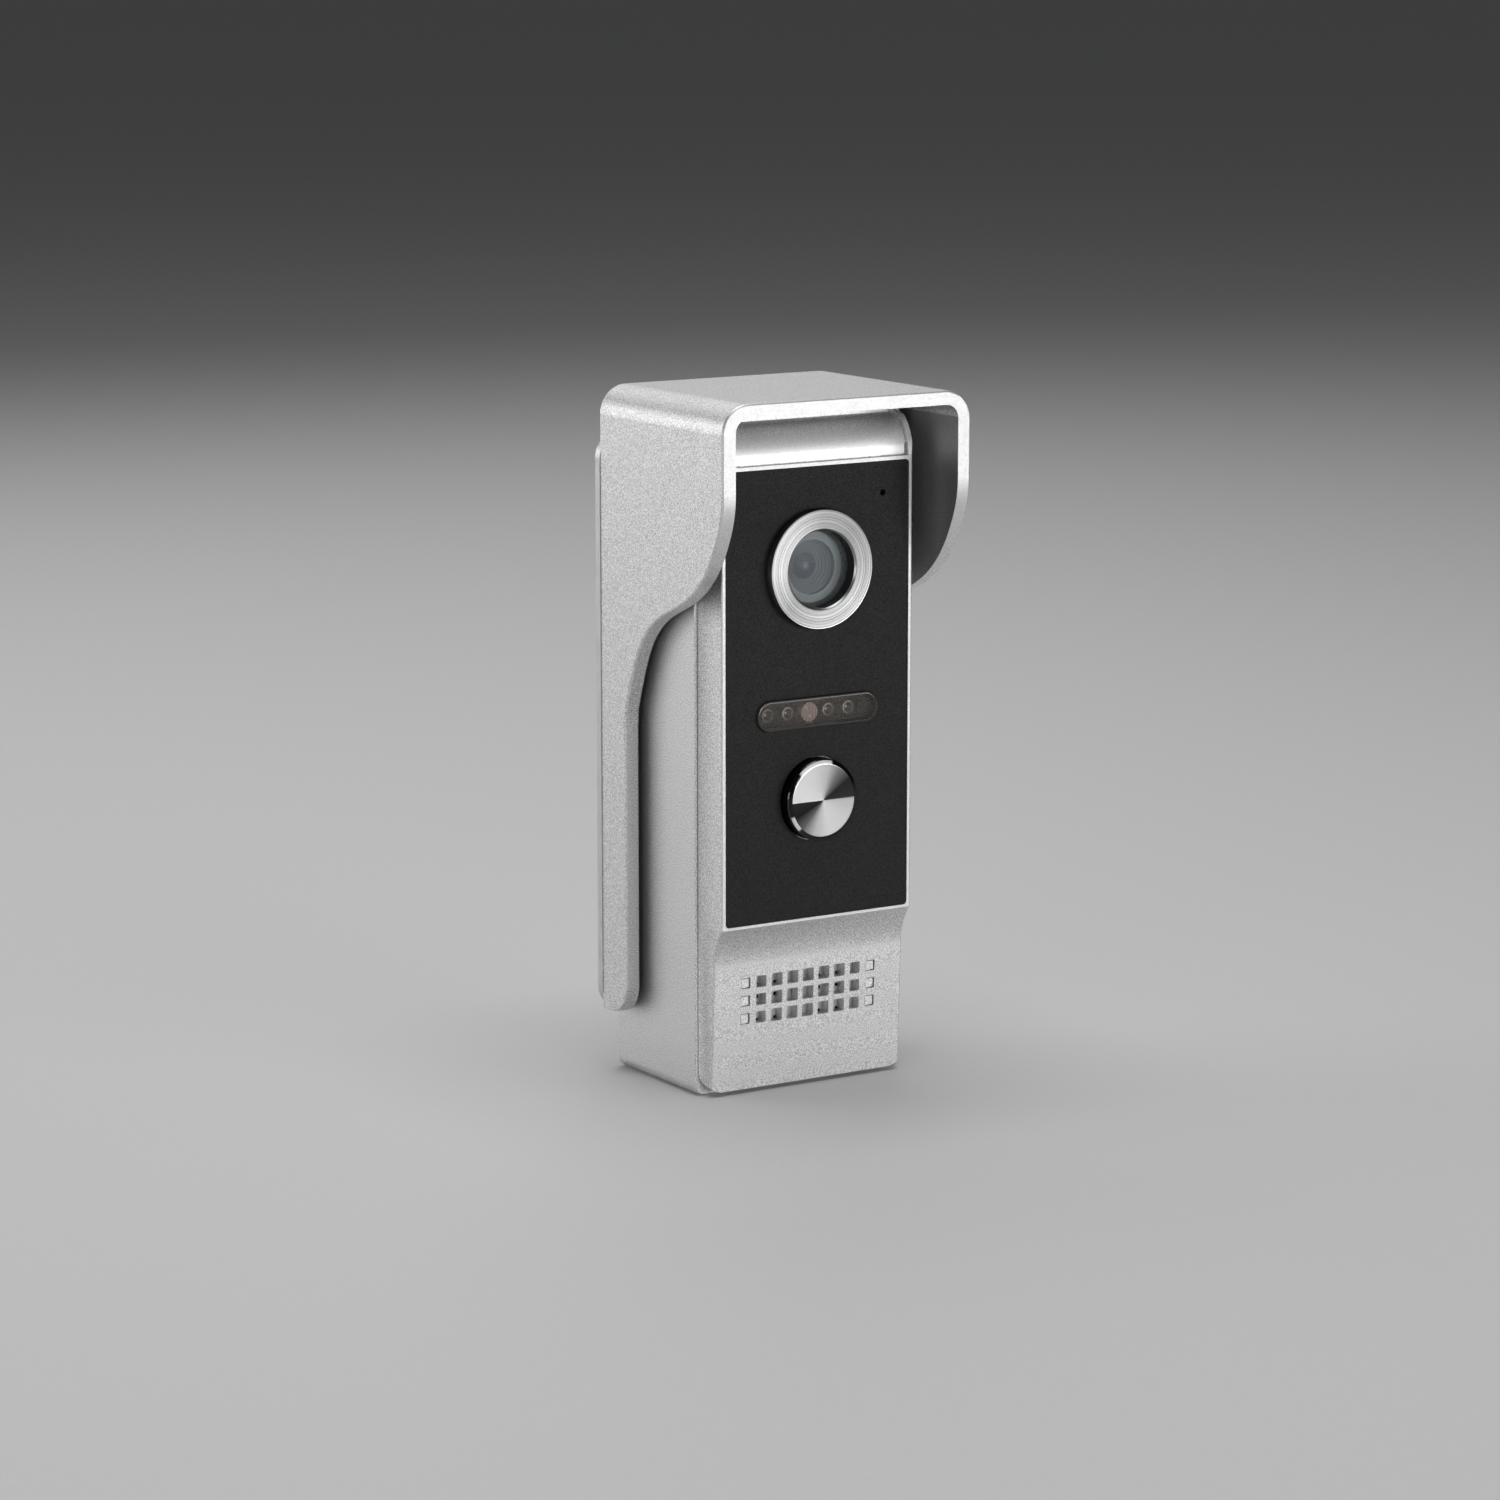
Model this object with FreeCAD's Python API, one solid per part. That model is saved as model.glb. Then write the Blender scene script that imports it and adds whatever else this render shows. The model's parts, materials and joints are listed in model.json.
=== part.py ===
import FreeCAD, Part
import math
import os

# Video door station under a rain hood. Millimetres, +Z up. The front looks along -Y and the wall lies at +Y.
# X = 0 is the middle, Z = 0 is the underside, and Y = 0 is half way between the hood's lip and the wall.
# Depths are counted backwards (+Y) from the plane of the bright rim around the black front panel.

# Overall depths
HOOD_LIP_DEPTH = -10.6
HOOD_REAR_DEPTH = 34.6
WALL_DEPTH = 36.3
FACE_Y = -(HOOD_LIP_DEPTH + WALL_DEPTH) / 2

# Rain hood
HOOD_HALF_WIDTH = 28.75
HOOD_TOP_Z = 139.0
HOOD_SIDE_WALL = 3.0
HOOD_TOP_WALL = 2.8
HOOD_CORNER = 5.8
HOOD_STRIP_DEPTH = 25.6
HOOD_BOTTOM_Z = 13.0
HOOD_TOE = 6.0
HOOD_EDGE_ROUND = 0.45

# Back plate between the body and the wall
PLATE_HALF_WIDTH = 28.95
PLATE_BOTTOM_Z = 12.4
PLATE_TOP_Z = 129.5
PLATE_CORNER = 5.0
WALL_HOLE_SPACING = 60.0
WALL_HOLE_MID_Z = 70.0
WALL_HOLE_R = 2.25
CABLE_OPENING_R = 7.0
CABLE_Z = 58.0

# Body
BODY_HALF_WIDTH = 24.2
BODY_TOP_Z = 134.5
HOUSING_FRONT_DEPTH = 6.85
HOUSING_REAR_DEPTH = 34.5
HOUSING_WALL = 1.7
HOUSING_EDGE_ROUND = 0.35
BODY_CORNER = 2.1
COVER_HALF_WIDTH = 22.3
COVER_FLARE = 1.3
COVER_FLARE_SHAPE = 0.27
COVER_CORNER = 4.0
COVER_BOTTOM_Z = 0.85
COVER_WALL = 1.8
COVER_REAR_DEPTH = 10.0
COVER_EDGE_ROUND = 0.32
RIM_BOTTOM_Z = 34.4
RIM_TOP_Z = 125.4
BROW_RADIUS = 8.4
BROW_RECESS = 0.9
BROW_INSET = 1.05
BROW_GROOVE = 0.35
BROW_GROOVE_DEPTH = 1.6
BROW_SLIT_HEIGHT = 2.3
BLOCK_REAR_DEPTH = 6.7
WEB_FRONT = 1.85
WEB_REAR = 3.9

# Front panel and what shows through it
PANEL_FRONT = 0.3
PANEL_HALF_WIDTH = 21.4
PANEL_BOTTOM_Z = 34.95
PANEL_TOP_Z = 124.65
PANEL_CORNER = 0.8
LENS_Z = 104.5
RING_R = 11.94
RING_BORE_R = 7.72
RING_SPIGOT_R = 8.6
RING_FACE_DEPTH = -1.5
GLASS_DEPTH = 1.2
WINDOW_Z = 76.1
WINDOW_LENGTH = 28.4
WINDOW_HEIGHT = 6.1
WINDOW_FRONT = -0.3
LED_Z = 75.6
LED_PITCH = 4.75
LED_R = 1.5
LED_TIP_DEPTH = 2.3
LED_LEG_X = 0.9
BUTTON_Z = 58.7
BUTTON_R = 8.2
BUTTON_FACE_R = 7.26
BUTTON_FACE_DEPTH = -2.2
BUTTON_TRAVEL = 1.0
STEM_R = 2.5
PLUNGER_R = 1.8
PLUNGER_REAR = 16.1
RUNNING_FIT = 0.06
MIC_X = 15.4
MIC_Z = 118.4
MIC_HOLE_R = 0.65

# Loudspeaker and its grille
SPEAKER_Z = 18.9
SPEAKER_R = 14.0
GRILLE_PITCH_X = 3.7
GRILLE_PITCH_Z = 3.63
GRILLE_COLUMNS = 9
GRILLE_ROWS = 3
GRILLE_FLOOR = 5.7
BLIND_CELL_DEPTH = 0.25
BLIND_GROOVE_WIDTH = 0.24
BLIND_GROOVE_DEPTH = 0.6

# Boards and fasteners
BOARD_FRONT = 18.0
BOARD_T = 1.6
BOARD_BOTTOM_Z = 38.0
BOARD_TOP_Z = 112.0
BOARD_HALF_WIDTH = 16.5
CAMERA_BOARD_DEPTH = 13.4
CAMERA_BOARD_HALF = 11.0
BOSS_X = 18.2
BOSS_ZS = (6.8, 127.6)
BOSS_R = 2.7
SCREW_R = 1.0
LID_FRONT = 32.9
STUD_X = 14.0
STUD_Z = 112.0
LOCK_DEPTH = 29.5
LOCK_LUG_Z = 16.0
LUG_T = 1.6

V = FreeCAD.Vector


def at(x, depth, z):
    """A point from its sideways place, its depth behind the rim plane and its height."""
    return V(x, FACE_Y + depth, z)


def disc(x, z, radius, front, rear):
    """A cylinder along Y between two depths."""
    return Part.makeCylinder(radius, rear - front, at(x, front, z), V(0, 1, 0))


def tube(x, z, outer, inner, front, rear):
    """A ring along Y between two depths."""
    return disc(x, z, outer, front, rear).cut(disc(x, z, inner, front - 1, rear + 1))


def block(x0, x1, front, rear, z0, z1):
    """A plain rectangular block."""
    return Part.makeBox(x1 - x0, rear - front, z1 - z0, at(x0, front, z0))


def rounded_outline(half_width, z0, z1, radius, front, mid_x=0.0):
    """A closed rounded rectangle in a plane of constant depth."""
    x0, x1, r = mid_x - half_width, mid_x + half_width, radius
    k = r * (1 - math.sqrt(0.5))
    edges = [
        Part.makeLine(at(x0 + r, front, z0), at(x1 - r, front, z0)),
        Part.Arc(at(x1 - r, front, z0), at(x1 - k, front, z0 + k), at(x1, front, z0 + r)).toShape(),
        Part.makeLine(at(x1, front, z0 + r), at(x1, front, z1 - r)),
        Part.Arc(at(x1, front, z1 - r), at(x1 - k, front, z1 - k), at(x1 - r, front, z1)).toShape(),
        Part.makeLine(at(x1 - r, front, z1), at(x0 + r, front, z1)),
        Part.Arc(at(x0 + r, front, z1), at(x0 + k, front, z1 - k), at(x0, front, z1 - r)).toShape(),
        Part.makeLine(at(x0, front, z1 - r), at(x0, front, z0 + r)),
        Part.Arc(at(x0, front, z0 + r), at(x0 + k, front, z0 + k), at(x0 + r, front, z0)).toShape(),
    ]
    return Part.Wire(edges)


def rounded_plate(half_width, z0, z1, radius, front, rear, mid_x=0.0):
    """A plate with rounded corners, seen from the front, between two depths."""
    face = Part.Face(rounded_outline(half_width, z0, z1, radius, front, mid_x))
    return face.extrude(V(0, rear - front, 0))


def pill(length, height, z, front, rear):
    """A slot-shaped plate with round ends."""
    radius = height / 2
    middle = block(radius - length / 2, length / 2 - radius, front, rear, z - radius, z + radius)
    ends = [disc(side * (length / 2 - radius), z, radius, front, rear) for side in (-1, 1)]
    return middle.fuse(ends).removeSplitter()


def turned(x, z, profile):
    """A solid turned about the Y axis through (x, z); profile is a list of (radius, depth)."""
    points = [at(x + radius, depth, z) for radius, depth in profile]
    face = Part.Face(Part.makePolygon(points + points[:1]))
    return face.revolve(at(x, 0, z), V(0, 1, 0), 360)


def side_prism(edges_points, half_width):
    """Extrudes a closed side view, given as a list of edges at X = 0, equally to both sides."""
    face = Part.Face(Part.Wire(edges_points))
    face.translate(V(-half_width, 0, 0))
    return face.extrude(V(2 * half_width, 0, 0))


def side_line(start, end):
    """A straight edge of a side view between two (depth, z) points."""
    return Part.makeLine(at(0, *start), at(0, *end))


def side_arc(start, middle, end):
    """A round edge of a side view through three (depth, z) points."""
    return Part.Arc(at(0, *start), at(0, *middle), at(0, *end)).toShape()


def group(solids):
    """Separate solids that share one node."""
    return Part.makeCompound(solids)


# ---------------------------------------------------------------- hood and back plate


def rain_hood():
    """U-shaped hood: a top and two side cheeks that sweep back to narrow strips by an S-shaped edge."""
    outer = rounded_plate(
        HOOD_HALF_WIDTH, HOOD_BOTTOM_Z - 10, HOOD_TOP_Z, HOOD_CORNER, HOOD_LIP_DEPTH, HOOD_REAR_DEPTH
    )
    inner = rounded_plate(
        HOOD_HALF_WIDTH - HOOD_SIDE_WALL,
        HOOD_BOTTOM_Z - 20,
        HOOD_TOP_Z - HOOD_TOP_WALL,
        HOOD_CORNER - HOOD_SIDE_WALL,
        HOOD_LIP_DEPTH - 1,
        HOOD_REAR_DEPTH + 1,
    )
    lip_end = (HOOD_LIP_DEPTH, 121.5)
    strip_start = (HOOD_STRIP_DEPTH, 66.0)
    upper_bend = [(-8.7, 113.2), (-3.3, 104.6), (4.9, 98.7)]
    lower_bend = [(12.9, 95.1), (20.3, 88.0), (24.6, 77.5)]
    through = [lip_end] + upper_bend + lower_bend + [strip_start]
    sweep = Part.BSplineCurve()
    sweep.interpolate(
        Points=[at(0, *point) for point in through], InitialTangent=V(0, 0, -1), FinalTangent=V(0, 0, -1)
    )
    toe_side = (HOOD_STRIP_DEPTH, HOOD_BOTTOM_Z + HOOD_TOE)
    bend = HOOD_TOE * (1 - math.sqrt(0.5))
    toe_middle = (HOOD_STRIP_DEPTH + bend, HOOD_BOTTOM_Z + bend)
    toe_foot = (HOOD_STRIP_DEPTH + HOOD_TOE, HOOD_BOTTOM_Z)
    side_view = [
        side_line((HOOD_REAR_DEPTH, HOOD_TOP_Z), (HOOD_LIP_DEPTH, HOOD_TOP_Z)),
        side_line((HOOD_LIP_DEPTH, HOOD_TOP_Z), lip_end),
        sweep.toShape(),
        side_line(strip_start, toe_side),
        side_arc(toe_side, toe_middle, toe_foot),
        side_line(toe_foot, (HOOD_REAR_DEPTH, HOOD_BOTTOM_Z)),
        side_line((HOOD_REAR_DEPTH, HOOD_BOTTOM_Z), (HOOD_REAR_DEPTH, HOOD_TOP_Z)),
    ]
    hood = outer.cut(inner).common(side_prism(side_view, HOOD_HALF_WIDTH + 1))
    hood = hood.makeFillet(HOOD_EDGE_ROUND, [edge for edge in hood.Edges if on_outer_front(edge)])
    holes = [disc(x, z, 0.85, HOOD_REAR_DEPTH - 7, HOOD_REAR_DEPTH + 1) for x, z in hood_screw_places()]
    return hood.cut(group(holes))


def on_outer_front(edge):
    """True for the hood's outer edges between its skin and its front faces, from toe to toe."""
    box = edge.BoundBox
    at_lip = box.YMax < FACE_Y + HOOD_LIP_DEPTH + 0.01
    inner_half, inner_top = HOOD_HALF_WIDTH - HOOD_SIDE_WALL, HOOD_TOP_Z - HOOD_TOP_WALL
    outside = min(abs(box.XMin), abs(box.XMax)) > inner_half + 0.01 or box.ZMin > inner_top + 0.01
    on_cheek = min(abs(box.XMin), abs(box.XMax)) > HOOD_HALF_WIDTH - 0.01
    behind = box.YMax > FACE_Y + HOOD_REAR_DEPTH - 0.01
    return (at_lip and outside) or (on_cheek and not behind)


def hood_screw_places():
    """Screws run from the back plate into the rear edges of the hood's two cheeks."""
    x = HOOD_HALF_WIDTH - HOOD_SIDE_WALL / 2
    return [(side * x, z) for side in (-1, 1) for z in (24.0, 70.0, 120.0)]


def hood_screws():
    """Small countersunk screws that hold the hood on the back plate."""
    solids = []
    for x, z in hood_screw_places():
        profile = [
            (0, WALL_DEPTH - 7.2), (0.8, WALL_DEPTH - 6.6), (0.8, WALL_DEPTH - 0.9),
            (1.45, WALL_DEPTH - 0.15), (0, WALL_DEPTH - 0.15),
        ]
        screw = turned(x, z, profile)
        slot = block(x - 1.0, x + 1.0, WALL_DEPTH - 0.55, WALL_DEPTH, z - 0.18, z + 0.18)
        solids.append(screw.cut(slot))
    return group(solids)


def wall_hole_zs():
    """Heights of the two wall-screw holes."""
    return [WALL_HOLE_MID_Z - WALL_HOLE_SPACING / 2, WALL_HOLE_MID_Z + WALL_HOLE_SPACING / 2]


def hood_back_plate():
    """Flat mounting plate with wall-screw holes, a cable opening and a lug for the lock screw."""
    plate = rounded_plate(
        PLATE_HALF_WIDTH, PLATE_BOTTOM_Z, PLATE_TOP_Z, PLATE_CORNER, HOOD_REAR_DEPTH, WALL_DEPTH
    )
    cuts = [disc(0, CABLE_Z, CABLE_OPENING_R, HOOD_REAR_DEPTH - 1, WALL_DEPTH + 1)]
    for z in wall_hole_zs():
        cuts.append(disc(0, z, WALL_HOLE_R, HOOD_REAR_DEPTH - 1, WALL_DEPTH + 1))
    for x, z in hood_screw_places():
        profile = [
            (0, HOOD_REAR_DEPTH - 1), (0.9, HOOD_REAR_DEPTH - 1), (0.9, WALL_DEPTH - 0.95),
            (1.7, WALL_DEPTH + 0.05), (0, WALL_DEPTH + 0.05),
        ]
        cuts.append(turned(x, z, profile))
    for x in (-STUD_X, STUD_X):
        cuts.append(disc(x, STUD_Z, 1.6, HOOD_REAR_DEPTH - 1, WALL_DEPTH + 1))
    plate = plate.cut(group(cuts))
    lug = block(-5, 5, LOCK_DEPTH - 4, HOOD_REAR_DEPTH + 0.2, LOCK_LUG_Z, LOCK_LUG_Z + LUG_T)
    lug_hole = Part.makeCylinder(1.5, LUG_T + 2, at(0, LOCK_DEPTH, LOCK_LUG_Z - 1), V(0, 0, 1))
    return plate.fuse(lug).removeSplitter().cut(lug_hole)


def hanger_studs():
    """Headed studs riveted in the back plate; the body hangs on them by its keyhole slots."""
    head_r, neck_r, rivet_r = 3.3, 1.9, 1.6
    profile = [
        (0, 31.1), (head_r, 31.1), (head_r, 32.3), (neck_r, 32.3), (neck_r, HOOD_REAR_DEPTH),
        (rivet_r, HOOD_REAR_DEPTH), (rivet_r, WALL_DEPTH - 0.1), (0, WALL_DEPTH - 0.1),
    ]
    return group([turned(x, STUD_Z, profile) for x in (-STUD_X, STUD_X)])


def locking_screw():
    """Screw from the underside into the back plate's lug, so that the body can't be lifted off."""
    head = Part.makeCylinder(2.7, 1.6, at(0, LOCK_DEPTH, 0.5), V(0, 0, 1))
    shank = Part.makeCylinder(1.45, LOCK_LUG_Z + LUG_T - 0.6, at(0, LOCK_DEPTH, 2.0), V(0, 0, 1))
    socket = Part.makeCylinder(1.1, 1.0, at(0, LOCK_DEPTH, 0.4), V(0, 0, 1))
    return head.fuse(shank).removeSplitter().cut(socket)


# ---------------------------------------------------------------- body shells


def body_silhouette(bottom_z):
    """Front view of the body with its rounded corners, as a deep prism."""
    return rounded_plate(BODY_HALF_WIDTH, bottom_z, BODY_TOP_Z, BODY_CORNER, -5, 40)


def rear_housing():
    """Deep open frame with the side, top and bottom walls, and a ledge for the rear cover."""
    outer = body_silhouette(0.0)
    outer = outer.common(block(-30, 30, HOUSING_FRONT_DEPTH, HOUSING_REAR_DEPTH, -1, 140))
    front_y = FACE_Y + HOUSING_FRONT_DEPTH + 0.01
    front_edges = [edge for edge in outer.Edges if edge.BoundBox.YMax < front_y]
    outer = outer.makeFillet(HOUSING_EDGE_ROUND, front_edges)
    inner_half = BODY_HALF_WIDTH - HOUSING_WALL
    low, high = 2.0, BODY_TOP_Z - 2.0
    cavity = rounded_plate(inner_half, low, high, 0.2, HOUSING_FRONT_DEPTH - 1, 31.2)
    ledge = rounded_plate(inner_half - 1.6, low + 1.6, high - 1.6, 1.0, 31.0, 33.0)
    recess = rounded_plate(inner_half, low, high, 1.0, 32.2, HOUSING_REAR_DEPTH + 1)
    shell = outer.cut(cavity.fuse([ledge, recess]))
    boss = Part.makeCylinder(4.0, 2.6, at(0, LOCK_DEPTH, 1.5), V(0, 0, 1))
    head_room = Part.makeCylinder(3.0, 2.4, at(0, LOCK_DEPTH, -0.1), V(0, 0, 1))
    hole = Part.makeCylinder(1.7, 10, at(0, LOCK_DEPTH, -1), V(0, 0, 1))
    boss = boss.common(block(-5, 5, 20, 31.1, 0, 10))
    return shell.fuse(boss).removeSplitter().cut(head_room.fuse(hole))


def sweep_depth(z):
    """Depth of the speaker face and of the sweep above it, which leaves the leaning face on a round arc."""
    foot, low, high = V(3.95, COVER_BOTTOM_Z, 0), V(2.95, 26.8, 0), V(0, RIM_BOTTOM_Z, 0)
    if z <= low.y:
        return foot.x + (low.x - foot.x) * (z - foot.y) / (low.y - foot.y)
    run = (low - foot).normalize()
    towards_front = V(-run.y, run.x, 0)
    chord = low - high
    radius = -chord.dot(chord) / (2 * towards_front.dot(chord))
    centre = low + towards_front * radius
    return centre.x + math.sqrt(radius**2 - (z - centre.y) ** 2)


def cover_section(depth, z):
    """Plan outline of the front block: flat front, small round corners, sides that flare to the housing."""
    half, small = COVER_HALF_WIDTH, COVER_EDGE_ROUND
    bend = small * (1 - math.sqrt(0.5))
    rear = BLOCK_REAR_DEPTH
    middle = (depth + small + rear) / 2
    edges = []
    for side in (-1, 1):
        flare = Part.Arc(
            at(side * (half + COVER_FLARE), rear, z),
            at(side * (half + COVER_FLARE * COVER_FLARE_SHAPE), middle, z),
            at(side * half, depth + small, z),
        )
        corner = Part.Arc(
            at(side * half, depth + small, z),
            at(side * (half - bend), depth + bend, z),
            at(side * (half - small), depth, z),
        )
        edges.append([flare.toShape(), corner.toShape()])
    front = Part.makeLine(at(small - half, depth, z), at(half - small, depth, z))
    back = Part.makeLine(at(half + COVER_FLARE, rear, z), at(-half - COVER_FLARE, rear, z))
    return Part.Wire([edges[0][0], edges[0][1], front, edges[1][1], edges[1][0], back])


def cover_block():
    """The front block: leaning speaker face, sweep, rim plane and rounded brow."""
    sweep_low, steps = 26.8, 4
    heights = [sweep_low + (RIM_BOTTOM_Z - sweep_low) * step / steps for step in range(steps + 1)]
    foot = [cover_section(sweep_depth(z), z) for z in (COVER_BOTTOM_Z, sweep_low)]
    sweep = [cover_section(sweep_depth(z), z) for z in heights]
    upper = Part.Face(cover_section(0, RIM_BOTTOM_Z)).extrude(V(0, 0, BODY_TOP_Z - RIM_BOTTOM_Z))
    speaker_length = Part.makeLoft(foot, True, True)
    sweep_length = Part.makeLoft(sweep, True, False)
    solid = speaker_length.fuse([sweep_length, upper.common(brow_prism())])
    corners = rounded_plate(
        COVER_HALF_WIDTH + COVER_FLARE, COVER_BOTTOM_Z, BODY_TOP_Z, COVER_CORNER, -5, COVER_REAR_DEPTH
    )
    return solid.common(corners)


def brow_prism(inset=0.0):
    """Side view of the panel's length with the round that closes it under the hood, set back by inset."""
    rear = COVER_REAR_DEPTH
    radius = BROW_RADIUS - inset
    start_z = BODY_TOP_Z - BROW_RADIUS
    top_z = BODY_TOP_Z - inset
    bend = radius * (1 - math.sqrt(0.5))
    side_view = [
        side_line((inset, RIM_BOTTOM_Z), (inset, start_z)),
        side_arc((inset, start_z), (inset + bend, top_z - bend), (BROW_RADIUS, top_z)),
        side_line((BROW_RADIUS, top_z), (rear, top_z)),
        side_line((rear, top_z), (rear, RIM_BOTTOM_Z)),
        side_line((rear, RIM_BOTTOM_Z), (inset, RIM_BOTTOM_Z)),
    ]
    return side_prism(side_view, COVER_HALF_WIDTH + COVER_FLARE + 1)


def grille_cells():
    """Centres and widths of the square holes: full in the middle, smaller next, and blind at both ends."""
    cells = []
    for column in range(GRILLE_COLUMNS):
        from_middle = abs(column - GRILLE_COLUMNS // 2)
        width = 2.2 if from_middle == 4 else 2.35 if from_middle == 3 else 2.6
        for row in range(GRILLE_ROWS):
            x = (column - (GRILLE_COLUMNS - 1) / 2) * GRILLE_PITCH_X
            z = SPEAKER_Z + (row - (GRILLE_ROWS - 1) / 2) * GRILLE_PITCH_Z
            cells.append((x, z, width, from_middle == 4))
    return cells


def blind_cell(x, z, width):
    """A shallow square recess with a narrow groove round its floor."""
    floor_depth = sweep_depth(z) + BLIND_CELL_DEPTH
    half = width / 2
    recess = rounded_plate(half, z - half, z + half, 0.3, 0, floor_depth, x)
    groove = rounded_plate(half, z - half, z + half, 0.3, 0, floor_depth + BLIND_GROOVE_DEPTH, x)
    inner = half - BLIND_GROOVE_WIDTH
    island = rounded_plate(inner, z - inner, z + inner, 0.15, -1, floor_depth + 1, x)
    return recess.fuse(groove.cut(island))


def front_cover():
    """Silver front shell with the rim, the brow under the hood, the grille and the black panel's pocket."""
    skirt = rounded_plate(
        COVER_HALF_WIDTH, 2.15, BODY_TOP_Z - 2.15, 0.3, BLOCK_REAR_DEPTH - 0.5, COVER_REAR_DEPTH
    )
    outer = cover_block().fuse(skirt)
    inner = COVER_HALF_WIDTH - COVER_WALL
    brow_half = COVER_HALF_WIDTH - BROW_INSET
    brow = [
        block(-brow_half, brow_half, -1, BROW_RADIUS, RIM_TOP_Z, BODY_TOP_Z + 1).cut(brow_prism(BROW_RECESS)),
        block(-brow_half, brow_half, -1, BROW_GROOVE_DEPTH, RIM_TOP_Z, RIM_TOP_Z + BROW_GROOVE),
    ]
    for side in (-1, 1):
        x0, x1 = sorted((side * (brow_half - BROW_GROOVE), side * brow_half))
        brow.append(block(x0, x1, -1, BROW_GROOVE_DEPTH, RIM_TOP_Z, RIM_TOP_Z + BROW_SLIT_HEIGHT))
    fit = 0.04
    pocket = rounded_plate(
        PANEL_HALF_WIDTH + fit, PANEL_BOTTOM_Z - fit, PANEL_TOP_Z + fit, PANEL_CORNER + fit, -1, WEB_FRONT
    )
    upper = rounded_plate(inner, 36.4, 130.6, 1.0, WEB_REAR, COVER_REAR_DEPTH + 1)
    lower = rounded_plate(inner, 2.7, 36.0, 1.0, GRILLE_FLOOR, COVER_REAR_DEPTH + 1)
    joint = block(-inner, inner, GRILLE_FLOOR + 1.4, COVER_REAR_DEPTH + 1, 30, 40)
    openings = [
        disc(0, LENS_Z, RING_SPIGOT_R + 0.05, -1, 5),
        pill(WINDOW_LENGTH + 0.2, WINDOW_HEIGHT + 0.2, WINDOW_Z, -1, 5),
        disc(0, BUTTON_Z, BUTTON_R + RUNNING_FIT, -1, 5),
        disc(MIC_X, MIC_Z, 1.5, -1, 5),
    ]
    cuts = brow + [pocket, upper, lower, joint] + openings
    for x, z, width, blind in grille_cells():
        if blind:
            cuts.append(blind_cell(x, z, width))
        else:
            cuts.append(rounded_plate(width / 2, z - width / 2, z + width / 2, 0.3, 0, GRILLE_FLOOR + 1, x))
    cover = outer.cut(group(cuts))
    bosses = []
    for x in (-BOSS_X, BOSS_X):
        for z in BOSS_ZS:
            bosses.append(tube(x, z, BOSS_R, SCREW_R + 0.05, 5.2, LID_FRONT - 0.05))
    for x in (-13.5, 13.5):
        for z in (BOARD_BOTTOM_Z + 3.5, BOARD_TOP_Z - 3.5):
            bosses.append(tube(x, z, 2.4, SCREW_R + 0.05, WEB_REAR - 0.2, BOARD_FRONT))
    cover = cover.fuse(bosses).removeSplitter()
    threads = [disc(x, z, SCREW_R + 0.05, 8, 40) for x in (-BOSS_X, BOSS_X) for z in BOSS_ZS]
    return cover.cut(group(threads))


def front_panel():
    """Black front panel, let into the rim, with its four openings."""
    panel = rounded_plate(
        PANEL_HALF_WIDTH, PANEL_BOTTOM_Z, PANEL_TOP_Z, PANEL_CORNER, PANEL_FRONT, WEB_FRONT
    )
    openings = [
        disc(0, LENS_Z, RING_SPIGOT_R + 0.05, -1, 3),
        pill(WINDOW_LENGTH + 0.2, WINDOW_HEIGHT + 0.2, WINDOW_Z, -1, 3),
        disc(0, BUTTON_Z, BUTTON_R + 0.3, -1, 3),
        disc(MIC_X, MIC_Z, MIC_HOLE_R, -1, 3),
    ]
    return panel.cut(group(openings))


def rear_cover():
    """Inset rear lid with keyhole slots, the cable hole and a full-width foot below the back plate."""
    half = BODY_HALF_WIDTH - HOUSING_WALL - 0.1
    lid = rounded_plate(half, 2.1, BODY_TOP_Z - 2.1, 0.9, LID_FRONT, HOUSING_REAR_DEPTH)
    foot_slice = block(-30, 30, HOUSING_REAR_DEPTH, WALL_DEPTH, -1, PLATE_BOTTOM_Z - 0.2)
    foot = body_silhouette(0.0).common(foot_slice)
    lid = lid.fuse(foot).removeSplitter()
    lug_slot = block(-5.4, 5.4, 30, 40, LOCK_LUG_Z - 0.4, LOCK_LUG_Z + LUG_T + 0.4)
    cuts = [disc(0, CABLE_Z, 5.0, 30, 40), lug_slot]
    for x in (-STUD_X, STUD_X):
        cuts.append(disc(x, STUD_Z - 6, 3.7, 30, 40))
        cuts.append(disc(x, STUD_Z, 2.1, 30, 40))
        cuts.append(block(x - 2.1, x + 2.1, 30, 40, STUD_Z - 6, STUD_Z))
    for z in wall_hole_zs():
        cuts.append(disc(0, z, 4.6, HOUSING_REAR_DEPTH - 1.0, 40))
    for x in (-BOSS_X, BOSS_X):
        for z in BOSS_ZS:
            cuts.append(disc(x, z, SCREW_R + 0.2, 30, 40))
            cuts.append(disc(x, z, 2.2, HOUSING_REAR_DEPTH - 0.9, 40))
    for cut in cuts:
        lid = lid.cut(cut)
    return lid


def rear_gasket():
    """Flat seal between the rear cover and the housing's ledge."""
    half = BODY_HALF_WIDTH - HOUSING_WALL - 0.1
    outer = rounded_plate(half, 2.1, BODY_TOP_Z - 2.1, 0.9, 32.2, LID_FRONT)
    inner = rounded_plate(half - 1.3, 3.4, BODY_TOP_Z - 3.4, 0.9, 32, 33)
    return outer.cut(inner)


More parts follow.
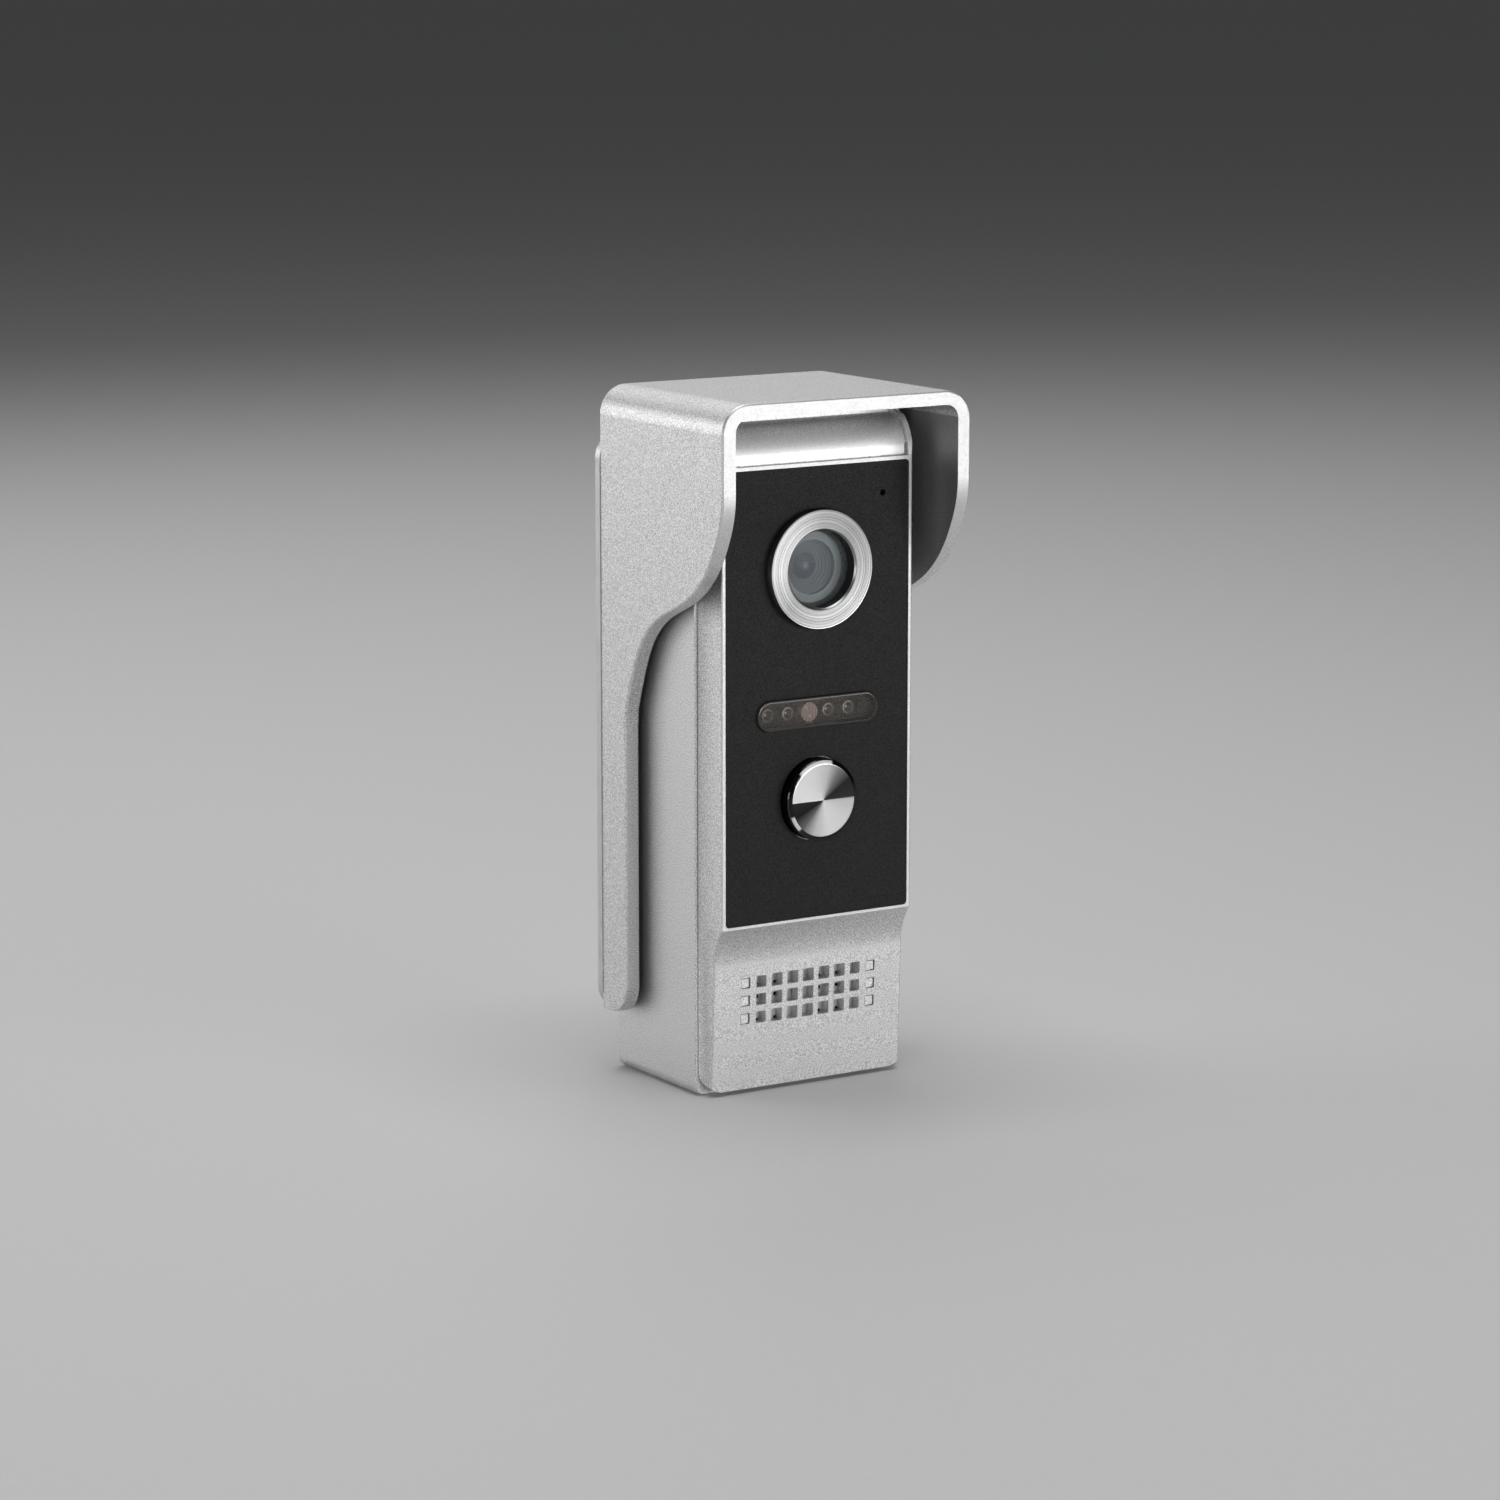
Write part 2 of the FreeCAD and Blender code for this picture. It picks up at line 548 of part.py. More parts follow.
def screw_group(places, head_front, head_rear, head_r, tip_depth):
    """Identical screws along Y with their heads at the rear and crossed recesses."""
    solids = []
    for x, z in places:
        shank = [(0, tip_depth), (SCREW_R, tip_depth + 0.6), (SCREW_R, head_front)]
        screw = turned(x, z, shank + [(head_r, head_front), (head_r, head_rear), (0, head_rear)])
        cross = [
            block(x - 1.1, x + 1.1, head_rear - 0.5, head_rear + 1, z - 0.2, z + 0.2),
            block(x - 0.2, x + 0.2, head_rear - 0.5, head_rear + 1, z - 1.1, z + 1.1),
        ]
        solids.append(screw.cut(cross[0]).cut(cross[1]))
    return group(solids)


def rear_cover_screws():
    places = [(x, z) for x in (-BOSS_X, BOSS_X) for z in BOSS_ZS]
    return screw_group(places, HOUSING_REAR_DEPTH - 0.9, HOUSING_REAR_DEPTH, 2.0, 22.0)


# ---------------------------------------------------------------- camera


def lens_ring():
    """Spun metal bezel whose spigot passes through the panel and the cover."""
    profile = [
        (RING_BORE_R, RING_FACE_DEPTH + 0.3), (RING_BORE_R + 0.3, RING_FACE_DEPTH),
        (RING_R - 0.6, RING_FACE_DEPTH), (RING_R, RING_FACE_DEPTH + 0.55), (RING_R, PANEL_FRONT),
        (RING_SPIGOT_R, PANEL_FRONT), (RING_SPIGOT_R, 5.6), (8.1, 5.6), (8.1, GLASS_DEPTH),
        (RING_BORE_R, GLASS_DEPTH),
    ]
    return turned(0, LENS_Z, profile)


def lens_ring_nut():
    """Nut that clamps the bezel from inside."""
    nut = tube(0, LENS_Z, 11.0, RING_SPIGOT_R, WEB_REAR, 5.5)
    notches = [block(-1.2, 1.2, WEB_REAR - 1, 6, LENS_Z + 10.2, LENS_Z + 12)]
    for angle in (120, 240):
        turned_notch = notches[0].copy()
        turned_notch.rotate(at(0, 0, LENS_Z), V(0, 1, 0), angle)
        notches.append(turned_notch)
    return nut.cut(group(notches))


def lens_window():
    """Flat protective glass inside the bezel."""
    return disc(0, LENS_Z, 8.05, GLASS_DEPTH, GLASS_DEPTH + 1.0)


def lens_window_seal():
    """Foam ring behind the glass."""
    return tube(0, LENS_Z, 8.05, 7.3, GLASS_DEPTH + 1.0, GLASS_DEPTH + 1.6)


def lens_barrel():
    """Threaded lens barrel with a stepped, coned mouth."""
    mouth = [(2.6, 4.3), (5.2, 2.9), (6.4, 2.9), (6.4, 5.2)]
    thread = [(5.9, 5.2), (5.9, 10.6), (2.3, 10.6), (2.3, 4.3)]
    return turned(0, LENS_Z, mouth + thread)


def lens_front_element():
    """Small domed front lens seated at the bottom of the barrel's mouth."""
    dome = Part.makeSphere(3.4, at(0, 6.9, LENS_Z))
    return dome.common(disc(0, LENS_Z, 2.25, 3, 5.4))


def lens_holder():
    """Square holder that carries the barrel on the camera board."""
    body = block(-8, 8, 6.4, CAMERA_BOARD_DEPTH, LENS_Z - 8, LENS_Z + 8)
    ears = block(-10.6, 10.6, 11.4, CAMERA_BOARD_DEPTH, LENS_Z - 3, LENS_Z + 3)
    cavity = block(-6, 6, 10.7, CAMERA_BOARD_DEPTH + 1, LENS_Z - 6, LENS_Z + 6)
    return body.fuse(ears).removeSplitter().cut(cavity).cut(disc(0, LENS_Z, 5.95, 5, 11))


def image_sensor():
    package = block(-4.2, 4.2, 12.2, CAMERA_BOARD_DEPTH, LENS_Z - 3.8, LENS_Z + 3.8)
    return package.cut(block(-3.2, 3.2, 12.0, 12.35, LENS_Z - 2.6, LENS_Z + 2.6))


def camera_board():
    half = CAMERA_BOARD_HALF
    front, rear = CAMERA_BOARD_DEPTH, CAMERA_BOARD_DEPTH + 1.2
    board = rounded_plate(half, LENS_Z - half, LENS_Z + half, 1.0, front, rear)
    inset = half - 1.7
    holes = [disc(x, z, 1.1, 10, 18) for x in (-inset, inset) for z in (LENS_Z - inset, LENS_Z + inset)]
    return board.cut(group(holes))


def camera_connector():
    """Board-to-board connector between the camera board and the main board."""
    return block(-6, 6, CAMERA_BOARD_DEPTH + 1.2, BOARD_FRONT, LENS_Z + 5, LENS_Z + 9)


# ---------------------------------------------------------------- night lights


def led_window():
    """Smoked window with a skirt and a flange behind the cover."""
    skin = pill(WINDOW_LENGTH, WINDOW_HEIGHT, WINDOW_Z, WINDOW_FRONT, WEB_REAR + 0.4)
    rim = [edge for edge in skin.Edges if edge.BoundBox.YMax < FACE_Y + WINDOW_FRONT + 0.01]
    skin = skin.makeFillet(0.35, rim)
    flange = pill(WINDOW_LENGTH + 3.6, WINDOW_HEIGHT + 3.6, WINDOW_Z, WEB_REAR + 0.4, WEB_REAR + 1.4)
    hollow = pill(WINDOW_LENGTH - 2.4, WINDOW_HEIGHT - 1.4, WINDOW_Z - 0.25, 1.3, 8)
    return skin.fuse(flange).removeSplitter().cut(hollow)


def led_window_seal():
    outer = pill(WINDOW_LENGTH + 3.6, WINDOW_HEIGHT + 3.6, WINDOW_Z, WEB_REAR, WEB_REAR + 0.4)
    return outer.cut(pill(WINDOW_LENGTH + 0.2, WINDOW_HEIGHT + 0.2, WINDOW_Z, 3, 5))


def infrared_leds():
    """Round-nosed diodes in a row, two on each side of the light sensor."""
    solids = []
    for place in (-2, -1, 1, 2):
        x = place * LED_PITCH
        nose = Part.makeSphere(LED_R, at(x, LED_TIP_DEPTH + LED_R, LED_Z))
        body = disc(x, LED_Z, LED_R, LED_TIP_DEPTH + LED_R, 7.2)
        collar = disc(x, LED_Z, LED_R + 0.3, 6.6, 7.6)
        legs = []
        for leg_x in (x - LED_LEG_X, x + LED_LEG_X):
            legs.append(block(leg_x - 0.2, leg_x + 0.2, 7.5, 10.4, LED_Z - 0.2, LED_Z + 0.2))
        solids.append(nose.fuse([body, collar] + legs).removeSplitter())
    return group(solids)


def light_sensor():
    """Round photocell that switches the diodes on in the dark."""
    cell = disc(0, LED_Z, 1.9, 3.0, 5.0)
    legs = [block(side - 0.2, side + 0.2, 4.9, 8.6, LED_Z - 0.2, LED_Z + 0.2) for side in (-1.0, 1.0)]
    return cell.fuse(legs).removeSplitter()


def led_board():
    board = rounded_plate(15.5, WINDOW_Z - 5.5, WINDOW_Z + 5.5, 1.0, 8.6, 9.8)
    holes = []
    for place in (-2, -1, 1, 2):
        for side in (-LED_LEG_X, LED_LEG_X):
            holes.append(disc(place * LED_PITCH + side, LED_Z, 0.35, 8, 11))
    board = board.cut(group(holes))
    posts = [disc(x, WINDOW_Z + 3.6, 1.0, 9.8, BOARD_FRONT) for x in (-13.2, 13.2)]
    return board.fuse(posts).removeSplitter()


# ---------------------------------------------------------------- call button


def button_cap():
    """Chromed cap with a spun face, a bright bevel and a hollow back for the spring."""
    profile = [
        (0, BUTTON_FACE_DEPTH), (BUTTON_FACE_R, BUTTON_FACE_DEPTH), (BUTTON_R, BUTTON_FACE_DEPTH + 0.5),
        (BUTTON_R, 2.5), (7.7, 2.5), (7.7, 3.3), (BUTTON_R, 3.3), (BUTTON_R, 4.0), (7.6, 4.0), (7.6, 4.8),
        (BUTTON_R, 4.8), (BUTTON_R, 5.3), (6.4, 5.3), (6.4, 1.0), (0, 1.0),
    ]
    return turned(0, BUTTON_Z, profile)


def button_oring():
    """Rubber ring in the cap's groove."""
    return Part.makeTorus(7.95, 0.24, at(0, 2.9, BUTTON_Z), V(0, 1, 0))


def button_retaining_ring():
    """Open ring snapped on the cap behind the cover, which stops it from coming out."""
    ring = tube(0, BUTTON_Z, 9.4, 7.62, 4.15, 4.75)
    return ring.cut(block(-1.5, 1.5, 3, 6, BUTTON_Z - 11, BUTTON_Z - 7))


def button_stem():
    """Stem that carries the press to the switch."""
    return turned(0, BUTTON_Z, [(0, 1.0), (STEM_R, 1.0), (STEM_R, 10.9), (STEM_R - 0.4, 11.3), (0, 11.3)])


def button_guide():
    """Cup screwed behind the cover; it holds the spring and guides the stem."""
    bore = STEM_R + RUNNING_FIT
    profile = [(9.9, WEB_REAR), (11.2, WEB_REAR), (11.2, 10.4), (bore, 10.4), (bore, 8.9), (9.9, 8.9)]
    return turned(0, BUTTON_Z, profile)


def button_return_spring():
    """Coil spring around the stem, between the cap and the guide."""
    wire, mean, start, end, turns = 0.28, 4.3, 1.3, 8.6, 5.0
    helix = Part.makeHelix((end - start) / turns, end - start, mean)
    helix.rotate(V(0, 0, 0), V(1, 0, 0), -90)
    helix.translate(at(0, start, BUTTON_Z))
    first = helix.Edges[0]
    origin = first.valueAt(first.FirstParameter)
    direction = first.tangentAt(first.FirstParameter)
    section = Part.Wire(Part.makeCircle(wire, origin, direction))
    return Part.Wire(helix.Edges).makePipeShell([section], True, True)


def push_switch():
    """Square push switch on the main board."""
    body = block(-6, 6, 14.2, BOARD_FRONT, BUTTON_Z - 6, BUTTON_Z + 6)
    posts = [disc(x, z, 0.8, 13.7, 14.4) for x in (-4.6, 4.6) for z in (BUTTON_Z - 4.6, BUTTON_Z + 4.6)]
    bore = disc(0, BUTTON_Z, PLUNGER_R + RUNNING_FIT, 13, PLUNGER_REAR + BUTTON_TRAVEL + 0.2)
    return body.fuse(posts).removeSplitter().cut(bore)


def switch_plunger():
    """Plunger that the stem pushes into the switch."""
    head_r, head_front, head_rear = 2.6, 11.35, 12.6
    shank = [(PLUNGER_R, head_rear), (PLUNGER_R, PLUNGER_REAR), (0, PLUNGER_REAR)]
    return turned(0, BUTTON_Z, [(0, head_front), (head_r, head_front), (head_r, head_rear)] + shank)


# ---------------------------------------------------------------- sound


def microphone():
    capsule = disc(MIC_X, MIC_Z, 3.0, 5.0, 8.0)
    legs = []
    for x in (MIC_X - 1, MIC_X + 1):
        legs.append(block(x - 0.25, x + 0.25, 7.9, 10.0, MIC_Z - 0.25, MIC_Z + 0.25))
    return capsule.fuse(legs).removeSplitter()


def microphone_boot():
    """Rubber sleeve that seals the capsule against the cover."""
    profile = [(0.8, WEB_REAR), (3.9, WEB_REAR), (3.9, 7.6), (3.0, 7.6), (3.0, 5.0), (0.8, 5.0)]
    return turned(MIC_X, MIC_Z, profile)


def speaker_mesh():
    """Thin silver perforated plate right behind the grille."""
    mesh = rounded_plate(14.6, SPEAKER_Z - 6.4, SPEAKER_Z + 6.4, 1.0, GRILLE_FLOOR, GRILLE_FLOOR + 0.3)
    holes = []
    for column in range(-6, 7):
        for row in range(-2, 3):
            holes.append(disc(column * 2.1, SPEAKER_Z + row * 2.4, 0.4, GRILLE_FLOOR - 1, GRILLE_FLOOR + 1))
    return mesh.cut(group(holes))


def speaker_gasket():
    """Foam ring between the mesh and the loudspeaker."""
    return tube(0, SPEAKER_Z, SPEAKER_R, 12.6, GRILLE_FLOOR + 0.3, GRILLE_FLOOR + 1.3)


def speaker_frame():
    """Pressed basket with windows around the cone."""
    rim = GRILLE_FLOOR + 1.3
    profile = [
        (12.6, rim), (SPEAKER_R, rim), (SPEAKER_R, rim + 1.0), (12.8, rim + 1.4), (8.6, rim + 4.2),
        (8.6, rim + 5.0), (3.5, rim + 5.0), (3.5, rim + 4.2), (8.0, rim + 4.2), (12.2, rim + 1.2),
    ]
    frame = turned(0, SPEAKER_Z, profile)
    windows = []
    for index in range(4):
        window = block(-2.6, 2.6, rim + 1.6, rim + 3.8, SPEAKER_Z + 6, SPEAKER_Z + 15)
        window.rotate(at(0, 0, SPEAKER_Z), V(0, 1, 0), 45 + 90 * index)
        windows.append(window)
    return frame.cut(group(windows))


def speaker_cone():
    """Paper cone with its rolled edge and dust cap."""
    rim = GRILLE_FLOOR + 1.3
    front = [(0, 1.2), (2.6, 1.7), (3.3, 2.6), (11.2, 0.5), (11.7, 0.1), (12.2, 0.4)]
    rear = [(12.2, 0.7), (11.7, 0.5), (11.2, 0.85), (3.2, 3.0)]
    coil = [(3.2, 4.1), (2.9, 4.1), (2.9, 2.9), (2.4, 2.1), (0, 1.6)]
    return turned(0, SPEAKER_Z, [(radius, rim + step) for radius, step in front + rear + coil])


def speaker_magnet():
    """Pole piece and ring magnet behind the cone."""
    rim = GRILLE_FLOOR + 1.3
    profile = [(0, 3.2), (2.6, 3.2), (2.6, 5.0), (8.2, 5.0), (8.2, 8.4), (7.8, 8.8), (0, 8.8)]
    return turned(0, SPEAKER_Z, [(radius, rim + step) for radius, step in profile])


def speaker_clamp():
    """Spring bar that presses the loudspeaker on its seal."""
    bar = block(-19.9, 19.9, 16.2, 17.0, SPEAKER_Z - 2.5, SPEAKER_Z + 2.5)
    ends = []
    for x0 in (-19.9, 18.9):
        ends.append(block(x0, x0 + 1.0, COVER_REAR_DEPTH + 0.5, 17.0, SPEAKER_Z - 2.5, SPEAKER_Z + 2.5))
    return bar.fuse(ends).removeSplitter()


# ---------------------------------------------------------------- electronics


def main_board():
    board = rounded_plate(
        BOARD_HALF_WIDTH, BOARD_BOTTOM_Z, BOARD_TOP_Z, 1.0, BOARD_FRONT, BOARD_FRONT + BOARD_T
    )
    holes = [disc(x, z, SCREW_R + 0.2, 15, 22) for x, z in board_screw_places()]
    return board.cut(group(holes))


def board_screw_places():
    return [(x, z) for x in (-13.5, 13.5) for z in (BOARD_BOTTOM_Z + 3.5, BOARD_TOP_Z - 3.5)]


def board_screws():
    rear = BOARD_FRONT + BOARD_T
    return screw_group(board_screw_places(), rear, rear + 1.2, 2.0, 11.0)


def board_chips():
    """Flat packages on the rear of the main board."""
    rear = BOARD_FRONT + BOARD_T
    processor, amplifier = (0, 94, 7.0, 7.0, 1.4), (-9, 80, 4.5, 3.0, 1.2)
    regulator, memory = (9, 80, 3.0, 4.0, 1.2), (-5, 106, 3.5, 3.0, 1.1)
    solids = []
    for x, z, half_width, half_height, thickness in (processor, amplifier, regulator, memory):
        box = block(x - half_width, x + half_width, rear, rear + thickness, z - half_height, z + half_height)
        solids.append(box)
    return group(solids)


def capacitors():
    """Upright electrolytic capacitors."""
    rear = BOARD_FRONT + BOARD_T
    can = [(0, 0), (3.1, 0), (3.1, 0.9), (2.9, 1.2), (3.1, 1.5), (3.1, 7.3), (2.8, 7.6), (0, 7.6)]
    profile = [(radius, rear + step) for radius, step in can]
    return group([turned(x, z, profile) for x, z in ((-10, 66), (-10, 54), (11, 98))])


def terminal_block():
    """Screw terminals for the four wires of the indoor station."""
    rear = BOARD_FRONT + BOARD_T
    body = block(-2, 12, rear, rear + 9, 44.5, 53.5)
    cuts = []
    for index in range(4):
        x = 0.0 + index * 3.4
        cuts.append(disc(x, 49, 1.25, rear + 6.0, rear + 10))
        cuts.append(block(x - 1.1, x + 1.1, rear + 1.2, rear + 4.0, 50, 54))
    return body.cut(group(cuts))


def terminal_screws():
    rear = BOARD_FRONT + BOARD_T
    solids = []
    for index in range(4):
        x = index * 3.4
        screw = disc(x, 49, 1.15, rear + 6.2, rear + 8.4)
        solids.append(screw.cut(block(x - 1.2, x + 1.2, rear + 7.9, rear + 9, 48.8, 49.2)))
    return group(solids)


def speaker_plug():
    """Two-pin connector for the loudspeaker's leads."""
    rear = BOARD_FRONT + BOARD_T
    return block(-9.5, -3.5, rear, rear + 5, 40, 45).cut(block(-8.9, -4.1, rear + 1.5, rear + 6, 40.6, 44.4))


def cable_grommet():
    """Rubber gland where the cable leaves the rear cover."""
    bore, neck, lip = 2.6, 4.95, 6.0
    front = [(bore, 31.2), (lip, 31.2), (lip, LID_FRONT), (neck, LID_FRONT)]
    rear = [(neck, HOUSING_REAR_DEPTH), (lip, HOUSING_REAR_DEPTH), (lip - 0.4, 35.7), (bore, 35.7)]
    return turned(0, CABLE_Z, front + rear)


MAKERS = [
    rain_hood, hood_screws, hood_back_plate, hanger_studs, locking_screw, rear_housing, front_cover,
    front_panel, rear_cover, rear_gasket, rear_cover_screws, lens_ring, lens_ring_nut, lens_window,
    lens_window_seal, lens_barrel, lens_front_element, lens_holder, image_sensor, camera_board,
    camera_connector, led_window, led_window_seal, infrared_leds, light_sensor, led_board,
    button_cap, button_oring, button_retaining_ring, button_stem, button_guide,
    button_return_spring, push_switch, switch_plunger, microphone, microphone_boot, speaker_mesh,
    speaker_gasket, speaker_frame, speaker_cone, speaker_magnet, speaker_clamp, main_board,
    board_screws, board_chips, capacitors, terminal_block, terminal_screws, speaker_plug,
    cable_grommet,
]

os.makedirs("parts", exist_ok=True)
for maker in MAKERS:
    shape = maker()
    name = maker.__name__
    state = "valid" if shape.isValid() else "NOT VALID"
    print(f"{name:24s} {len(shape.Solids)} solids {shape.Volume:10.1f} mm3 {state}")
    shape.exportStep(f"parts/{name}.step")
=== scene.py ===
import json
import math

import bmesh
import bpy
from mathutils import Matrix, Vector


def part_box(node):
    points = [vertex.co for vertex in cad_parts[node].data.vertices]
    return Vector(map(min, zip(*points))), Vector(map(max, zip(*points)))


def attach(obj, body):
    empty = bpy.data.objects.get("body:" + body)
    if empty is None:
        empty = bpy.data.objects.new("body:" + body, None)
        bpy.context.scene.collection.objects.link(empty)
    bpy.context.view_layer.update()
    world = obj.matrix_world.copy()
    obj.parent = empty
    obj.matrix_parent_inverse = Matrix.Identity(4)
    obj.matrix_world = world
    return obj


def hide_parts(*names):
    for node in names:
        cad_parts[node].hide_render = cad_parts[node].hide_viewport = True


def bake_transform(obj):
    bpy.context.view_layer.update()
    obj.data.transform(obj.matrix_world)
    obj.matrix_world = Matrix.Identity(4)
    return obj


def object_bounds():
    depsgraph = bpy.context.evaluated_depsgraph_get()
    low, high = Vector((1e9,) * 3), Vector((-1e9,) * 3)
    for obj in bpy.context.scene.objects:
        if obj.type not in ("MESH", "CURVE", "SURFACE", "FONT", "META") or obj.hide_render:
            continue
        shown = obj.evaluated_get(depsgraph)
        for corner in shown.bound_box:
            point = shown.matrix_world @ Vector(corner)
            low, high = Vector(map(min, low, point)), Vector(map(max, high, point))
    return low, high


# Looks of a video door station under a rain hood. Metres, +Z up, the front looks along -Y.
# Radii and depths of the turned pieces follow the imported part; their places come from its boxes.

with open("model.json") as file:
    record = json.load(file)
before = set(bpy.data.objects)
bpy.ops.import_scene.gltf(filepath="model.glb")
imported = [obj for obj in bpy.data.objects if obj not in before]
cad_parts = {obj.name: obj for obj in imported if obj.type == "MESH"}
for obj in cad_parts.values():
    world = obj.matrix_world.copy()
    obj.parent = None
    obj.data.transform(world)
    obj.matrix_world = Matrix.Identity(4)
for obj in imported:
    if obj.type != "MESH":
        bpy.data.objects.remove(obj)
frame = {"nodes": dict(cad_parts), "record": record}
cad_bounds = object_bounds()
NODES = frame["nodes"]

MM = 0.001

# Camera: seen from the front left and a little above, with a long lens
CAMERA_AZIMUTH = math.radians(-32.58)
CAMERA_ELEVATION = math.radians(10.38)
CAMERA_DISTANCE = 0.9172
CAMERA_LENS = 112.9
CAMERA_TARGET = Vector((-0.01579, -0.01285, 0.06998))

# Turned pieces
RING_BORE_R = 7.72 * MM
LED_COLLAR_R = 1.8 * MM
RING_EDGE_STEP = 0.22 * MM
RING_GROOVE_PITCH = 0.38 * MM
RING_GROOVE_DEPTH = 0.045 * MM
CAP_FACE_R = 7.26 * MM
CAP_GROOVE_PITCH = 0.16 * MM
CAP_GROOVE_DEPTH = 0.010 * MM
TURNED_SEGMENTS = 160
PILL_SEGMENTS = 40
WINDOW_FLANGE = 1.8 * MM

# Paint
FLAKE_SIZE = 0.22 * MM
HOOD_SIDE_WALL = 3.0 * MM
HOOD_TOP_WALL = 2.8 * MM
HOOD_INNER_ROUND = 2.5 * MM
HOOD_EDGE_FADE = 14 * MM
COVER_EDGE_FADE = 0.6 * MM
BROW_HIGHLIGHT_DEPTH = 12 * MM
BROW_GAP = 0.9 * MM


# ---------------------------------------------------------------- node helpers


class Shader:
    """A new material with one Principled shader, and short calls to add nodes to it."""

    def __init__(self, name):
        self.material = bpy.data.materials.new(name)
        self.material.use_nodes = True
        self.tree = self.material.node_tree
        self.bsdf = self.tree.nodes["Principled BSDF"]
        self.coords = self.tree.nodes.new("ShaderNodeTexCoord")

    def set(self, **values):
        for name, value in values.items():
            self.bsdf.inputs[name.replace("_", " ")].default_value = value

    def node(self, kind, **inputs):
        made = self.tree.nodes.new(kind)
        for name, value in inputs.items():
            socket = made.inputs[name.replace("_", " ")]
            if isinstance(value, bpy.types.NodeSocket):
                self.tree.links.new(value, socket)
            else:
                socket.default_value = value
        return made

    def link(self, source, name):
        self.tree.links.new(source, self.bsdf.inputs[name])

    def noise(self, size, detail=2.0, stretch=(1, 1, 1)):
        """Noise whose grains are about size metres wide, stretched by the given factors."""
        scaled = self.node("ShaderNodeVectorMath", Vector=self.coords.outputs["Object"])
        scaled.operation = "DIVIDE"
        scaled.inputs[1].default_value = [size * factor for factor in stretch]
        return self.node(
            "ShaderNodeTexNoise", Vector=scaled.outputs["Vector"], Scale=1.0, Detail=detail
        ).outputs["Fac"]

    def ramp(self, factor, *stops):
        """A colour ramp from (position, colour) stops; a number stands for a grey."""
        node = self.node("ShaderNodeValToRGB", Fac=factor)
        elements = node.color_ramp.elements
        while len(elements) < len(stops):
            elements.new(0.5)
        for element, (position, colour) in zip(elements, stops):
            element.position = position
            grey = isinstance(colour, (int, float))
            element.color = (colour,) * 3 + (1,) if grey else tuple(colour) + (1,)
        return node.outputs["Color"]

    def spread(self, factor, low, high):
        """Maps the middle of a noise to the range from low to high."""
        node = self.node("ShaderNodeMapRange", Value=factor)
        node.inputs["From Min"].default_value = 0.3
        node.inputs["From Max"].default_value = 0.7
        node.inputs["To Min"].default_value = low
        node.inputs["To Max"].default_value = high
        return node.outputs["Result"]

    def math(self, operation, first, second=0.0):
        """A math node on two numbers or sockets."""
        node = self.tree.nodes.new("ShaderNodeMath")
        node.operation = operation
        for socket, value in zip(node.inputs, (first, second)):
            if isinstance(value, bpy.types.NodeSocket):
                self.tree.links.new(value, socket)
            else:
                socket.default_value = value
        return node.outputs["Value"]

    def bump(self, height, depth, below=None):
        """Bump of the given depth in metres, over another bump if one is given."""
        node = self.node("ShaderNodeBump", Height=height, Strength=1.0, Distance=depth)
        if below is not None:
            self.tree.links.new(below, node.inputs["Normal"])
        self.link(node.outputs["Normal"], "Normal")
        return node.outputs["Normal"]

    def mix(self, factor, first, second, blend="MIX"):
        """Mixes or blends two colours by a factor."""
        node = self.tree.nodes.new("ShaderNodeMix")
        node.data_type = "RGBA"
        node.blend_type = blend
        for socket, value in ((node.inputs[0], factor), (node.inputs[6], first), (node.inputs[7], second)):
            if isinstance(value, bpy.types.NodeSocket):
                self.tree.links.new(value, socket)
            else:
                socket.default_value = value
        return node.outputs[2]


def middle_z(node):
    """Height of a CAD node's middle, which is the axis of the turned pieces."""
    low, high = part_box(node)
    return (low.z + high.z) / 2


# ---------------------------------------------------------------- materials


def forward_face_mask(s, spot, front_y, fade):
    """How far a face looks forward and lies within fade of front_y; used for the milled front edges and for
    a painted highlight.
    """
    normal = s.node("ShaderNodeSeparateXYZ", Vector=s.coords.outputs["Normal"])
    forward = s.node("ShaderNodeMapRange", Value=normal.outputs["Y"])
    forward.inputs["From Min"].default_value = -0.25
    forward.inputs["From Max"].default_value = -0.95
    near = s.node("ShaderNodeMapRange", Value=spot.outputs["Y"])
    near.inputs["From Min"].default_value = front_y + fade
    near.inputs["From Max"].default_value = front_y
    return s.math("MULTIPLY", forward.outputs["Result"], near.outputs["Result"])


